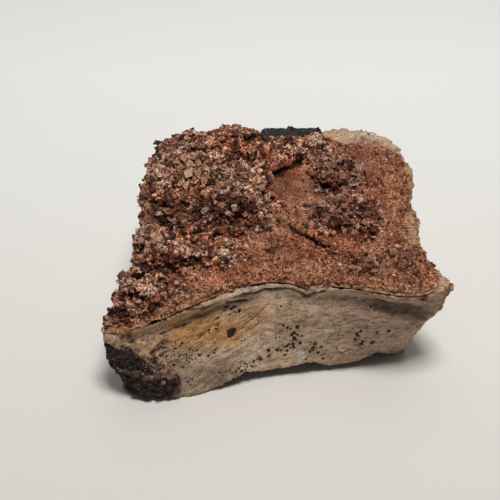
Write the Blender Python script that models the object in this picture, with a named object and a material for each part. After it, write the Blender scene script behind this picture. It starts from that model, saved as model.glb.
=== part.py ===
"""Vanadinite on matrix: a broken slab of limestone, crusted on its upper bedding face with vanadinite.

The specimen lies on its base, with the origin at the middle of the base, +X along the slab, -Y
towards its broken front face and +Z up. It is four pieces, grown or stuck one on the other:
the rock, the vanadinite crust with its crystals, and two dark oxide crusts at the rock's edges.
"""

import math
import random

import bmesh
import bpy
from mathutils import Matrix, Vector, noise

MM = 0.001

# The rock. Its upper bedding face tilts towards the front and sinks at the front left corner.
BED_HEIGHT = 37.4 * MM
BED_RISE = 0.13
CORNER_FALL = 0.30
CORNER_FALL_FROM_X = -15 * MM
CORNER_FALL_Y = (-22 * MM, -42 * MM)
ROCK_CELL = 6.0 * MM

# Stations round the rock, from the front left corner and anticlockwise seen from above, in
# millimetres: rim x, rim y, base x, base y, and how far the crust's edge stands out past the rim.
STATIONS = (
    (-48.6, -41.5, -43.4, -41.0, 0.4),
    (-44.6, -44.0, -39.0, -44.5, 0.8),
    (-37.0, -44.0, -31.0, -46.5, 0.6),
    (-28.0, -42.0, -23.0, -45.5, -0.4),
    (-20.0, -40.2, -18.0, -43.2, -0.8),
    (-11.0, -37.5, -10.0, -41.2, -0.8),
    (-3.0, -34.5, -2.0, -39.5, -0.6),
    (3.5, -34.8, 4.0, -38.6, -0.6),
    (9.0, -37.0, 8.0, -38.0, -0.7),
    (15.0, -36.2, 13.0, -36.4, -0.7),
    (23.0, -37.0, 19.5, -33.6, -0.7),
    (34.0, -39.8, 27.5, -31.4, -0.5),
    (42.5, -39.2, 33.8, -29.4, -0.8),
    (47.8, -34.8, 39.6, -26.4, -2.2),
    (45.0, -26.5, 40.0, -20.0, -1.2),
    (42.0, -18.5, 38.0, -13.0, -0.6),
    (42.6, -9.0, 38.0, -6.0, -0.6),
    (41.0, -1.0, 37.5, 1.0, -0.6),
    (42.3, 11.0, 37.0, 10.0, -0.8),
    (41.6, 20.0, 35.0, 18.0, -2.4),
    (37.2, 28.4, 30.0, 25.0, -6.5),
    (28.0, 32.6, 22.0, 28.0, -8.5),
    (15.0, 30.8, 11.0, 28.0, -3.4),
    (3.0, 30.4, 1.0, 28.2, -2.0),
    (-10.0, 31.0, -10.0, 28.0, 0.6),
    (-21.0, 29.5, -20.0, 27.0, 0.8),
    (-29.0, 26.5, -26.5, 23.5, 1.2),
    (-33.6, 19.0, -31.5, 15.0, 1.4),
    (-37.2, 7.5, -34.0, 4.0, 1.4),
    (-38.2, -8.0, -35.0, -9.0, 1.4),
    (-38.6, -24.0, -36.0, -23.0, 1.4),
    (-43.4, -34.0, -40.4, -33.5, 1.2),
)
STEPS_PER_STATION = 2
MIDDLE = Vector((2 * MM, -6 * MM))
LEAST_LEAN = 0.6

# Levels of the rock's sides, as shares of the rim's height, with the dish below the front's lip.
SIDE_LEVELS = (0.0, 0.12, 0.26, 0.40, 0.54, 0.68, 0.80, 0.88, 0.95, 1.0)
BELLY = 0.75
LIP_LEVEL = 0.88
LIP_SPREAD = 0.07
LIP_DEPTH = 1.5 * MM
RIGHT_HOLLOW_DEPTH = 2.2 * MM
RIGHT_HOLLOW_X = 37 * MM
RIGHT_HOLLOW_SPREAD = 9 * MM
RIGHT_HOLLOW_LEVEL = 0.8
RIGHT_HOLLOW_REACH = 0.14
FRACTURE_COARSE = (20 * MM, 2.4 * MM)
FRACTURE_FINE = (9 * MM, 1.5 * MM)
FRONT_SMOOTHNESS = 0.35
FRONT_TURN = (0.3, 0.8)
RIM_CLEAR = 0.93

# Hollows in the underside, in millimetres: centre x and y, radius x and y, turn in degrees, depth
# and the share of the radius that its edge takes. Between them the base is flat.
UNDERSIDE_HOLLOWS = (
    (3.0, -43.0, 25.0, 17.0, -8.0, 6.0, 0.7),
    (30.0, -30.0, 9.0, 8.0, 0.0, 2.0, 0.8),
    (-40.0, 2.0, 9.0, 14.0, 0.0, 5.0, 0.8),
    (5.0, 30.0, 16.0, 8.0, 0.0, 4.0, 0.8),
)

EDGE_WANDER = 0.14
EDGE_WANDER_GRAIN = 5 * MM

# Open cracks under the front's lip, in millimetres: x, y and z of points along each.
LIP_CRACKS = (
    ((-23.0, -40.5, 26.5), (-17.0, -39.5, 28.8), (-12.0, -38.0, 29.8), (-8.0, -37.0, 29.6)),
    ((-10.0, -37.5, 31.2), (-4.0, -35.2, 31.6), (3.0, -35.2, 31.3), (7.0, -36.0, 30.6)),
    ((5.0, -36.2, 30.0), (9.0, -36.8, 29.0), (14.0, -36.0, 30.0)),
)
CRACK_RADIUS = 0.75
TAPER = 0.3

# The vanadinite crust: its thickness, and its lumps and hollows in the form of the list above.
CRUST_THICKNESS = 1.4 * MM
CRUST_LEAST = 0.8 * MM
CRUST_CELL = 2.7 * MM
CRUST_FORMS = (
    (-19.5, 5.5, 23.5, 23.0, 6.0, 4.8, 0.26),
    (-27.0, 13.0, 10.0, 12.0, 20.0, 1.2, 0.80),
    (-10.0, 27.0, 9.0, 5.0, 0.0, 1.8, 0.60),
    (-9.0, -10.0, 9.0, 6.0, -20.0, 1.3, 0.50),
    (8.0, 22.0, 12.0, 8.0, 0.0, 2.4, 0.40),
    (19.5, 8.0, 8.0, 7.5, -15.0, 3.6, 0.45),
    (21.0, -10.0, 10.5, 9.0, -10.0, 3.2, 0.45),
    (17.5, -20.5, 9.5, 4.5, -28.0, 1.3, 0.30),
    (29.0, -27.5, 11.0, 5.0, 3.0, 1.0, 0.60),
    (-35.0, -23.5, 7.5, 7.0, 15.0, 3.4, 0.36),
    (-17.0, -22.5, 16.0, 6.5, 6.0, 1.8, 0.40),
    (-40.0, -33.0, 6.0, 4.5, 30.0, 1.8, 0.50),
    (-44.5, -39.0, 4.5, 3.5, 30.0, 1.4, 0.70),
    (-30.0, -35.5, 9.0, 3.5, 15.0, 1.1, 0.60),
    (-5.5, 24.5, 3.8, 2.8, 0.0, -3.6, 0.60),
    (6.0, 4.0, 7.5, 10.0, -25.0, -0.6, 0.50),
)
CRUST_ROUGHNESS = ((8.0 * MM, 1.6 * MM), (3.6 * MM, 1.1 * MM))
SANDY_SHARE = 0.4

# Undercuts below the crust's ledges, in millimetres: a radius, then x, y and height above the bed.
UNDERCUTS = (
    (
        1.7,
        ((-42, -15, 2.8), (-31, -16.4, 2.6), (-20, -18.8, 2.4), (-10, -18, 2.6), (-3, -14, 2.2)),
    ),
    (
        1.7,
        ((1.5, -8, 2.0), (0.6, -1, 2.4), (1.6, 6, 2.6), (4.5, 12, 2.8), (10, 15.5, 2.6)),
    ),
    (
        1.3,
        ((-46, -31, 2.2), (-38, -31, 2.2), (-30, -28.4, 1.8), (-22, -29.6, 1.6), (-14, -28.6, 1.4)),
    ),
    (
        0.9,
        ((5, -15, 1.4), (8, -19.5, 1.5), (13, -23.5, 1.5), (17, -23, 1.5), (24, -25, 1.4)),
    ),
)
SKIRT_FRONT = 0.6 * MM
SKIRT_LEFT = 8.0 * MM
SKIRT_LEFT_X = (-28 * MM, -38 * MM)
SKIRT_LEFT_Y = (-54 * MM, -28 * MM)

# Crystals of the crust that are wide enough to be seen singly: hexagonal prisms and tablets.
CRYSTAL_SEED = 11
CRYSTAL_COUNT = 98
CRYSTAL_WIDTH = (2.0 * MM, 3.4 * MM)
CRYSTAL_LENGTH_SHARE = (0.45, 1.1)
CRYSTAL_SUNK_SHARE = 0.12
CRYSTAL_TIP_SHARE = (0.82, 1.0)
CRYSTAL_LEAN = 0.8
SPACING = 0.62
TRIES = 60
COARSE_ZONES = (
    (-19.0, 4.0, 25.0, 28.0),
    (-30.0, -26.0, 18.0, 13.0),
    (20.0, 6.0, 9.0, 9.0),
    (21.0, -10.0, 11.0, 10.0),
)
FINE_ZONE_CHANCE = 0.12
UPWARD, DOWNWARD = 0.2, -0.3

# The oxide crusts: centre, radii and turn about Y of the rounded patch that each one covers.
OXIDE_THICKNESS = 1.2 * MM
CORNER_PATCH = ((-38.5, -43.5, 9.6), (14.0, 8.5, 7.8), 34.0)
BACK_PATCH = ((6.0, 29.0, 41.0), (10.2, 5.8, 5.5), 0.0)
PATCH_ROUGHNESS = (7 * MM, 1.4 * MM)
PATCH_LOWEST = 1.0 * MM
PATCH_REACH = 1.1
OXIDE_GRAIN_WIDTH = (1.8 * MM, 3.0 * MM)
CORNER_GRAINS = 18
BACK_GRAINS = 5

ROCK_COLOR = (0.26, 0.18, 0.12)
VANADINITE_COLOR = (0.20, 0.075, 0.04)
CORNER_COLOR = (0.03, 0.022, 0.018)
BACK_COLOR = (0.035, 0.033, 0.025)

# The gap between a crust and the rock under it, and the size of the blocks that are cut to shape.
GAP = 0.3 * MM
LENGTH, DEPTH = 120 * MM, 100 * MM
WELL_ABOVE = 60 * MM
WELL_BELOW = -6 * MM


def smooth(share):
    """0 below 0, 1 above 1, and an even S curve between."""
    share = min(max(share, 0.0), 1.0)
    return share * share * (3 - 2 * share)


def ramp(value, start, end):
    return smooth((value - start) / (end - start))


def form_height(x, y, form):
    """Height at (x, y) of one lump or hollow, flat on top with a soft edge that wanders a little."""
    cx, cy, rx, ry, turn, height, edge = form
    dx, dy = x - cx * MM, y - cy * MM
    cos, sin = math.cos(math.radians(turn)), math.sin(math.radians(turn))
    along, across = dx * cos + dy * sin, dy * cos - dx * sin
    reach = math.hypot(along / (rx * MM), across / (ry * MM))
    reach += EDGE_WANDER * noise.noise(Vector((x, y, 0)) / EDGE_WANDER_GRAIN)
    return height * MM * smooth((1 - reach) / edge)


def in_zones(x, y, zones):
    """Whether (x, y) lies in one of a list of ellipses, each its centre and its radii."""
    for cx, cy, rx, ry in zones:
        if math.hypot((x / MM - cx) / rx, (y / MM - cy) / ry) < 1:
            return True
    return False


def roughness(point, layers):
    """Sum of noise layers, each with its grain size and its height."""
    return sum(height * noise.noise(Vector(point) / grain) for grain, height in layers)


def bed_level(x, y):
    """The rock's upper bedding face, on which the crust grew."""
    fall = CORNER_FALL * max(0.0, CORNER_FALL_FROM_X - x) * ramp(y, *CORNER_FALL_Y)
    return BED_HEIGHT + BED_RISE * y - fall


def underside_level(x, y):
    return sum(form_height(x, y, hollow) for hollow in UNDERSIDE_HOLLOWS)


def crust_level(x, y):
    """The crust's upper face, rougher where its crystals are coarse."""
    thickness = CRUST_THICKNESS + sum(form_height(x, y, form) for form in CRUST_FORMS)
    share = 1 if in_zones(x, y, COARSE_ZONES) else SANDY_SHARE
    thickness += share * roughness((x, y, 0), CRUST_ROUGHNESS)
    return bed_level(x, y) + max(thickness, CRUST_LEAST)


def crust_foot(x, y):
    """The crust's lower reach before the rock is cut out of it: it wraps the left edge."""
    leftness = ramp(x, *SKIRT_LEFT_X) * ramp(y, *SKIRT_LEFT_Y)
    return bed_level(x, y) - SKIRT_FRONT - (SKIRT_LEFT - SKIRT_FRONT) * leftness


def between_stations(index, share):
    """One station's five values on a smooth curve through the stations, share of the way on."""
    count = len(STATIONS)
    before, start, end, after = (STATIONS[(index + k) % count] for k in (-1, 0, 1, 2))
    values = []
    for a, b, c, d in zip(before, start, end, after):
        slope_in, slope_out = (c - a) / 2, (d - b) / 2
        rest = share * share * (3 - 2 * share)
        curve = (1 - rest) * b + rest * c
        curve += slope_in * (share**3 - 2 * share**2 + share) + slope_out * (share**3 - share**2)
        values.append(curve * MM)
    return values


def perimeter():
    """Points round the rock: the rim, the base, how far each faces the front, the way out from
    the rock's middle, and the crust's edge past the rim."""
    samples = [
        between_stations(index, step / STEPS_PER_STATION)
        for index in range(len(STATIONS))
        for step in range(STEPS_PER_STATION)
    ]
    points = []
    for number, (rim_x, rim_y, base_x, base_y, edge) in enumerate(samples):
        before, after = samples[number - 1], samples[(number + 1) % len(samples)]
        facing = Vector((after[1] - before[1], before[0] - after[0])).normalized()
        rim = Vector((rim_x, rim_y))
        way_out = (rim - MIDDLE).normalized()
        way_out /= max(LEAST_LEAN, facing.dot(way_out))
        points.append((rim, Vector((base_x, base_y)), -facing.y, way_out, edge))
    return points


def side_relief(place, level, front_facing):
    """How far a side stands out at a point: the lip's dish in front, broken ledges elsewhere."""
    frontness = ramp(front_facing, *FRONT_TURN)
    dish = LIP_DEPTH * math.exp(-(((level - LIP_LEVEL) / LIP_SPREAD) ** 2))
    from_hollow = (place.x - RIGHT_HOLLOW_X) / RIGHT_HOLLOW_SPREAD
    below_lip = (level - RIGHT_HOLLOW_LEVEL) / RIGHT_HOLLOW_REACH
    dish += RIGHT_HOLLOW_DEPTH * math.exp(-(from_hollow**2) - below_lip**2)
    broken = roughness(place, (FRACTURE_COARSE, FRACTURE_FINE))
    broken *= 1 - (1 - FRONT_SMOOTHNESS) * frontness
    return broken * (1 - ramp(level, RIM_CLEAR, 1.0)) - dish * frontness


def new_object(name, bm, collection):
    mesh = bpy.data.meshes.new(name)
    bmesh.ops.triangulate(bm, faces=bm.faces)
    bmesh.ops.recalc_face_normals(bm, faces=bm.faces)
    bm.to_mesh(mesh)
    bm.free()
    made = bpy.data.objects.new(name, mesh)
    collection.objects.link(made)
    return made


def rock_wall(name, collection, past_rim=0.0, follow_crust_edge=False):
    """A loft up the rock's sides from the base outline to the rim, and straight on above it."""
    bm = bmesh.new()
    rings = []
    heights = [(0.0, WELL_BELOW)] + [(level, None) for level in SIDE_LEVELS] + [(1.0, WELL_ABOVE)]
    for level, fixed_height in heights:
        ring = []
        for rim, base, front_facing, way_out, edge in perimeter():
            spot = base.lerp(rim, level**BELLY)
            height = level * bed_level(*rim)
            place = Vector((spot.x, spot.y, height))
            out = past_rim + side_relief(place, level, front_facing)
            out += edge if follow_crust_edge else 0
            spot += way_out * out
            ring.append(bm.verts.new((*spot, height if fixed_height is None else fixed_height)))
        rings.append(ring)
    for lower, upper in zip(rings, rings[1:]):
        for k in range(len(lower)):
            bm.faces.new((lower[k - 1], lower[k], upper[k], upper[k - 1]))
    bm.faces.new(reversed(rings[0]))
    bm.faces.new(rings[-1])
    return new_object(name, bm, collection)


def layer(name, collection, top, bottom, cell, grown=0.0):
    """A block between two level functions, wider than the rock, thicker by grown each way."""
    bm = bmesh.new()
    for level, rise in ((top, grown), (bottom, -grown)):
        segments = {"x_segments": round(LENGTH / cell), "y_segments": round(DEPTH / cell)}
        grid = bmesh.ops.create_grid(bm, size=0.5, **segments)
        for vert in grid["verts"]:
            x, y = vert.co.x * LENGTH, vert.co.y * DEPTH + MIDDLE.y
            vert.co = (x, y, level(x, y) + rise)
    edges = [edge for edge in bm.edges if edge.is_boundary]
    bmesh.ops.bridge_loops(bm, edges=edges)
    return new_object(name, bm, collection)


def patch_blob(name, collection, patch, grow=0.0):
    """A rounded, uneven body that marks off the part of the rock which an oxide crust covers."""
    centre, radii, turn = patch
    bm = bmesh.new()
    bmesh.ops.create_icosphere(bm, subdivisions=2, radius=1.0)
    turned = Matrix.Rotation(math.radians(turn), 4, "Y")
    for vert in bm.verts:
        way = vert.co.normalized()
        spot = turned @ Vector(way[k] * radii[k] * MM for k in range(3))
        spot += Vector(centre) * MM
        swell = roughness(spot, (PATCH_ROUGHNESS,)) + grow
        vert.co = spot + (turned @ way) * swell
    cut = bmesh.ops.bisect_plane(
        bm,
        geom=bm.verts[:] + bm.edges[:] + bm.faces[:],
        plane_co=(0, 0, PATCH_LOWEST),
        plane_no=(0, 0, -1),
        clear_outer=True,
    )
    rim = [item for item in cut["geom_cut"] if isinstance(item, bmesh.types.BMEdge)]
    if rim:
        bmesh.ops.contextual_create(bm, geom=rim)
    return new_object(name, bm, collection)


def evaluated_mesh(source):
    """The mesh of an object with its modifiers applied."""
    depsgraph = bpy.context.evaluated_depsgraph_get()
    return bpy.data.meshes.new_from_object(source.evaluated_get(depsgraph))


def combine(target, other, operation):
    """Applies a Boolean at once, so that the next step works on the result."""
    modifier = target.modifiers.new(operation, "BOOLEAN")
    modifier.operation = operation
    modifier.object = other
    target.data = evaluated_mesh(target)
    target.modifiers.clear()


def rock_block(name, collection, cutters, grown=0.0):
    """The rock's bulk, its faces standing out by a distance."""
    block = layer(name, collection, bed_level, underside_level, ROCK_CELL, grown)
    combine(block, rock_wall(f"{name}_sides", cutters, grown), "INTERSECT")
    return block


def connected(seed):
    """All vertices joined to one by edges."""
    found, front = {seed}, [seed]
    while front:
        for edge in front.pop().link_edges:
            for vert in edge.verts:
                if vert not in found:
                    found.add(vert)
                    front.append(vert)
    return found


def drop_crumbs(body):
    """Keeps only the largest body of a mesh."""
    bm = bmesh.new()
    bm.from_mesh(body.data)
    left, bodies = set(bm.verts), []
    while left:
        bodies.append(connected(next(iter(left))))
        left -= bodies[-1]
    bodies.sort(key=len)
    crumbs = [vert for crumb in bodies[:-1] for vert in crumb]
    bmesh.ops.delete(bm, geom=crumbs, context="VERTS")
    bm.to_mesh(body.data)
    bm.free()


def crack_cutter(name, collection, points, radius):
    """A bent tube along an open crack or an undercut."""
    curve = bpy.data.curves.new(name, "CURVE")
    curve.dimensions = "3D"
    curve.bevel_depth = radius * MM
    curve.bevel_resolution = 1
    curve.use_fill_caps = True
    spline = curve.splines.new("POLY")
    spline.points.add(len(points) - 1)
    for point, place in zip(spline.points, points):
        point.co = (*(Vector(place) * MM), 1)
        point.radius = TAPER if place in (points[0], points[-1]) else 1.0
    source = bpy.data.objects.new(name + "_line", curve)
    collection.objects.link(source)
    bm = bmesh.new()
    bm.from_mesh(evaluated_mesh(source))
    bmesh.ops.remove_doubles(bm, verts=bm.verts, dist=0.01 * MM)
    bpy.data.objects.remove(source)
    return new_object(name, bm, collection)


def seats_on(body, count, widths, accept, chance):
    """Seats for crystals on a body's faces: place, way out, and width, with room between them."""
    triangles = [p for p in body.data.polygons if accept(p.center, p.normal)]
    areas = [p.area for p in triangles]
    seats = []
    for _ in range(count * TRIES):
        if len(seats) == count:
            break
        face = chance.choices(triangles, areas)[0]
        a, b, c = (body.data.vertices[v].co for v in face.vertices[:3])
        s, t = sorted((chance.random(), chance.random()))
        place = a * s + b * (t - s) + c * (1 - t)
        width = chance.uniform(*widths)
        if all((place - other).length > SPACING * (width + wide) for other, _, wide in seats):
            seats.append((place, face.normal.copy(), width))
    return seats


def crystals(name, collection, seats, chance):
    """Hexagonal prisms and tablets on their seats, leaning every way, joined in one mesh."""
    bm = bmesh.new()
    for place, outward, width in seats:
        length = width * chance.uniform(*CRYSTAL_LENGTH_SHARE)
        tip = Vector([chance.uniform(-1, 1) for _ in range(3)]) * CRYSTAL_LEAN
        axis = (outward + tip).normalized()
        turn = Matrix.Rotation(chance.uniform(0, math.tau), 4, "Z")
        aim = axis.to_track_quat("Z", "Y").to_matrix().to_4x4()
        seat = Matrix.Translation(place - outward * width * CRYSTAL_SUNK_SHARE)
        bmesh.ops.create_cone(
            bm,
            cap_ends=True,
            segments=6,
            radius1=width / 2,
            radius2=width / 2 * chance.uniform(*CRYSTAL_TIP_SHARE),
            depth=length,
            matrix=seat @ aim @ turn,
        )
    return new_object(name, bm, collection)


def finish(body, color, dullness):
    material = bpy.data.materials.new(body.name)
    material.use_nodes = True
    shader = material.node_tree.nodes["Principled BSDF"]
    shader.inputs["Base Color"].default_value = (*color, 1)
    shader.inputs["Roughness"].default_value = dullness
    shader.inputs["Metallic"].default_value = 0.0
    body.data.materials.clear()
    body.data.materials.append(material)


def make_rock(pieces, cutters):
    rock = rock_block("matrix_rock", pieces, cutters)
    for number, points in enumerate(LIP_CRACKS):
        crack = crack_cutter(f"lip_crack_{number}", cutters, points, CRACK_RADIUS)
        combine(rock, crack, "DIFFERENCE")
    finish(rock, ROCK_COLOR, 0.85)


def make_vanadinite(pieces, cutters, room_for_rock, chance):
    crust = layer("vanadinite_crust", pieces, crust_level, crust_foot, CRUST_CELL)
    combine(crust, rock_wall("crust_sides", cutters, follow_crust_edge=True), "INTERSECT")

    for number, (radius, points) in enumerate(UNDERCUTS):
        path = [(x, y, bed_level(x * MM, y * MM) / MM + above) for x, y, above in points]
        undercut = crack_cutter(f"undercut_{number}", cutters, path, radius)
        combine(crust, undercut, "DIFFERENCE")

    def takes_crystal(place, normal):
        if normal.z < (UPWARD if place.x > SKIRT_LEFT_X[0] else DOWNWARD):
            return False
        if place.z < bed_level(place.x, place.y) - SKIRT_LEFT / 2:
            return False
        return in_zones(place.x, place.y, COARSE_ZONES) or chance.random() < FINE_ZONE_CHANCE

    seats = seats_on(crust, CRYSTAL_COUNT, CRYSTAL_WIDTH, takes_crystal, chance)
    combine(crust, crystals("crust_crystals", cutters, seats, chance), "UNION")
    combine(crust, room_for_rock, "DIFFERENCE")
    for number, patch in enumerate((CORNER_PATCH, BACK_PATCH)):
        combine(crust, patch_blob(f"oxide_room_{number}", cutters, patch, GAP), "DIFFERENCE")
    drop_crumbs(crust)
    finish(crust, VANADINITE_COLOR, 0.5)


def make_oxide(name, color, patch, grains, groups, room_for_rock, chance):
    """A dark crust that hugs the rock inside its patch."""
    pieces, cutters = groups
    oxide = rock_block(name, pieces, cutters, OXIDE_THICKNESS)
    centre, radii, _ = patch

    def in_patch(place, _):
        return Vector((place[k] / MM - centre[k]) / radii[k] for k in range(3)).length < PATCH_REACH

    seats = seats_on(oxide, grains, OXIDE_GRAIN_WIDTH, in_patch, chance)
    combine(oxide, crystals(f"{name}_grains", cutters, seats, chance), "UNION")
    combine(oxide, patch_blob(f"{name}_patch", cutters, patch), "INTERSECT")
    combine(oxide, room_for_rock, "DIFFERENCE")
    drop_crumbs(oxide)
    finish(oxide, color, 0.55)


def main():
    for old in list(bpy.data.objects):
        bpy.data.objects.remove(old)
    pieces = bpy.data.collections.new("vanadinite_on_matrix")
    cutters = bpy.data.collections.new("cutters")
    for group in (pieces, cutters):
        bpy.context.scene.collection.children.link(group)
    chance = random.Random(CRYSTAL_SEED)

    make_rock(pieces, cutters)
    room_for_rock = rock_block("room_for_rock", cutters, cutters, GAP)
    make_vanadinite(pieces, cutters, room_for_rock, chance)
    for name, color, patch, grains in (
        ("dark_oxide_corner", CORNER_COLOR, CORNER_PATCH, CORNER_GRAINS),
        ("dark_oxide_back_edge", BACK_COLOR, BACK_PATCH, BACK_GRAINS),
    ):
        make_oxide(name, color, patch, grains, (pieces, cutters), room_for_rock, chance)

    for cutter in cutters.objects:
        cutter.hide_render = True
        cutter.display_type = "WIRE"


main()
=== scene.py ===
"""Vanadinite on matrix: the stone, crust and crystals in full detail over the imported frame.

The broken limestone slab, the vanadinite crust and the two dark oxide crusts each take the place of
one CAD node. Their meshes are the CAD meshes made finer and roughened, and the crystals and grains
are scattered on them with Geometry Nodes. Lengths are in metres, and in millimetres where a comment
says so.
"""

import math
import random

import bmesh
import bpy
import numpy as np
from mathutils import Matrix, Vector, noise
from mathutils.bvhtree import BVHTree


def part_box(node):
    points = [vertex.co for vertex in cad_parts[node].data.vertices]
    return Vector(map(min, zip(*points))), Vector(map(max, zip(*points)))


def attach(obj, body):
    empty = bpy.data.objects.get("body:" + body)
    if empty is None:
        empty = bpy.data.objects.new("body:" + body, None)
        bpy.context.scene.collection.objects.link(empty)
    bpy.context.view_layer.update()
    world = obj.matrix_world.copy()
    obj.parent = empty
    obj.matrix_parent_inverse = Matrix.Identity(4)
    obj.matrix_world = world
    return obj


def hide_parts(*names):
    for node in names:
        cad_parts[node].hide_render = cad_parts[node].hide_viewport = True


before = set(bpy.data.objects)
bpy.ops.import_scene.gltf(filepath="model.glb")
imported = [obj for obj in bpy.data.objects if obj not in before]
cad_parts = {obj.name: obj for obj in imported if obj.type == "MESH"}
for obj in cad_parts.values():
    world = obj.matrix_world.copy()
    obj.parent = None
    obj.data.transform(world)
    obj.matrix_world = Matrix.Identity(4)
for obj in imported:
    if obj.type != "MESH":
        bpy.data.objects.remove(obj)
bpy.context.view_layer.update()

MM = 0.001
ROOT = "root"

# Camera: in front of the slab and above it. The lens and its sensor are in millimetres, and places in
# the camera's frame are counted in 500ths of its width, from the left and the top.
CAMERA_AIM = Vector((-7.2, 0.0, 18.0)) * MM
CAMERA_ELEVATION = 38.0
CAMERA_DISTANCE = 340 * MM
CAMERA_LENS = 79.0
SENSOR = 36.0
FRAME = 500.0
# What one of those 500ths measures on the slab.
FRAME_STEP = 0.32 * MM

# CAD points nearer than this are one point.
WELD = 0.001 * MM
# How near a crust lies to the rock it grew on, and from where it counts as clear of it.
CONTACT = 0.6 * MM
CLEAR = 0.45 * MM
# How deep a crust's thin rim is let into the rock, and how deep the vanadinite and the oxide crusts
# are where they are thick.
RIM_SUNK = 0.9 * MM
CRUST_SUNK = 2.6 * MM
OXIDE_SUNK = 1.0 * MM
# From which thickness a crust counts as thick, and what no crust is thicker than.
THICK = 2.0 * MM
THICKEST = 9 * MM
# The rim is lowest up to this height over the rock, passes into the rest of the crust over this much
# more, and is lowered by this much.
RIM_LOW = 0.4 * MM
RIM_RISE = 1.6 * MM
RIM_DROP = 0.9 * MM
# How far the rock sinks under a crust, from how many mesh steps inside the crust's edge.
ROCK_SUNK = 1.9 * MM
COVER_STEPS = 2

# Zones of the crust seen from above: centre x and y, radius x and y, turn in degrees, strength.
COARSE = (
    (-19.0, 5.0, 24.0, 26.0, 6.0, 1.0),
    (-30.0, -24.0, 20.0, 13.0, 10.0, 1.0),
    (-41.0, -36.0, 9.0, 8.0, 30.0, 1.0),
    (8.0, 21.0, 12.0, 8.0, 0.0, 0.8),
    (20.0, 7.0, 10.0, 9.5, -15.0, 1.0),
    (21.0, -11.0, 11.0, 9.0, -10.0, 0.9),
    (30.0, -27.0, 12.0, 5.0, 5.0, 0.5),
)
# The dark zones are partly dark minerals and partly painted shade under ledges and overhangs.
DARK_AND_SHADED = (
    (-29.0, -10.0, 14.0, 4.5, 4.0, 0.9),
    (-13.0, -12.0, 10.0, 6.5, -20.0, 0.9),
    (-36.5, -26.0, 5.5, 5.0, 10.0, 0.4),
    (-31.0, -29.5, 9.0, 2.8, 0.0, 0.35),
    (19.0, 6.0, 9.0, 6.5, -15.0, 0.85),
    (20.0, -11.0, 9.5, 6.5, -10.0, 0.85),
    (-33.0, 17.0, 5.0, 9.0, 25.0, 0.7),
    (-7.0, 20.5, 4.0, 2.6, 0.0, 0.9),
    (28.0, -27.0, 10.0, 3.6, 5.0, 0.65),
    (0.5, 10.0, 4.0, 2.4, 40.0, 0.9),
    (5.0, 5.0, 7.0, 7.5, -25.0, 0.35),
)
RED = (
    (-4.0, 14.0, 15.0, 5.0, -14.0, 1.0),
    (-21.0, -18.5, 15.0, 3.2, 0.0, 0.9),
    (-20.0, -31.0, 16.0, 4.0, -6.0, 0.6),
    (-26.0, -6.0, 7.0, 4.0, 10.0, 0.7),
    (21.0, -8.0, 7.0, 4.0, 0.0, 0.5),
    (14.0, -21.0, 14.0, 4.0, -10.0, 0.7),
    (28.0, -4.0, 7.0, 9.0, 0.0, 0.5),
)
BEIGE = (
    (-11.0, 0.0, 11.0, 4.6, -28.0, 1.0),
    (-38.0, -15.0, 6.0, 4.0, -20.0, 0.9),
    (-26.0, 7.0, 7.0, 5.0, 0.0, 0.7),
    (-36.0, -18.0, 3.5, 4.0, 0.0, 0.8),
    (-2.0, 17.0, 6.0, 2.4, -20.0, 0.5),
    (28.5, 14.0, 4.0, 3.2, 0.0, 0.3),
    (41.0, -13.0, 2.4, 7.0, 0.0, 0.9),
    (-24.0, -36.0, 8.0, 2.0, -12.0, 0.6),
)
BARE_FLOOR = ((6.0, 4.5, 6.5, 9.0, -25.0, 1.0), (28.3, 12.5, 2.3, 7.5, 8.0, 0.9))

# The edges of zones wander by noise: its grain and its share of a zone's radius.
CRUST_WANDER = ((6 * MM, 0.18), (2 * MM, 0.10))
ROCK_WANDER = ((7 * MM, 0.25), (2.5 * MM, 0.15))
# Lines on a surface stray from their courses by noise: how far, and its grain.
CREVICE_STRAY = (1.1 * MM, 2.2 * MM)
ROCK_STRAY = (1.2 * MM, 5 * MM)
BAND_STRAY = (0.9 * MM, 1.8 * MM)
# Where the noise is read for each of the three directions.
STRAY_SHIFTS = (0.0, 3.7, 8.1)
# How far the zones' wander bends the crust's dusted edge and the rock's scoops, and which share of
# the rock's stray its cracks have.
CRUST_BEND = 0.8 * MM
SCOOP_BEND = 1.6 * MM
CRACK_STRAY = 0.3
# Noise that breaks up the crevices and that lets the rim wander: its grain and where it is read.
CREVICE_BREAKS = (3.1 * MM, 5.3)
RIM_WANDER = (2.6 * MM, 2.1)

# Crust relief: widths, then heights in the coarse and in the sandy zones. The lumps carry crystal
# blocks, each a tilted flat, then ridges and grains.
CRUST_VOXEL = 0.70 * MM
CRUST_SWELL = (7.0 * MM, 3.2 * MM, 0.6 * MM)
CRUST_BLOCKS = ((3.4 * MM, 1.4 * MM, 0.15 * MM), (1.9 * MM, 1.1 * MM, 0.30 * MM))
CRUST_RIDGES = (1.7 * MM, 1.5 * MM, 0.5 * MM)
CRUST_GRAINS = (0.95 * MM, 0.45 * MM, 0.85 * MM)
# How much of the relief is lost where the crust is bare or dusted, and how much of the swell and of
# the detail is lost behind.
BARE_LOSS = 0.75
SWELL_LOSS = 0.7
DETAIL_LOSS = 0.35
# The wide and the narrow blocks' shares of the tint.
BLOCK_TINTS = (0.45, 0.55)
# How steep the blocks are, and how far apart their own noise is read.
BLOCK_TILT = 1.3
BLOCK_SHUFFLE = 7.3
# Starts the vector noise, which moves the blocks, the same way each time the script runs.
NOISE_SEED = 6
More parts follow.
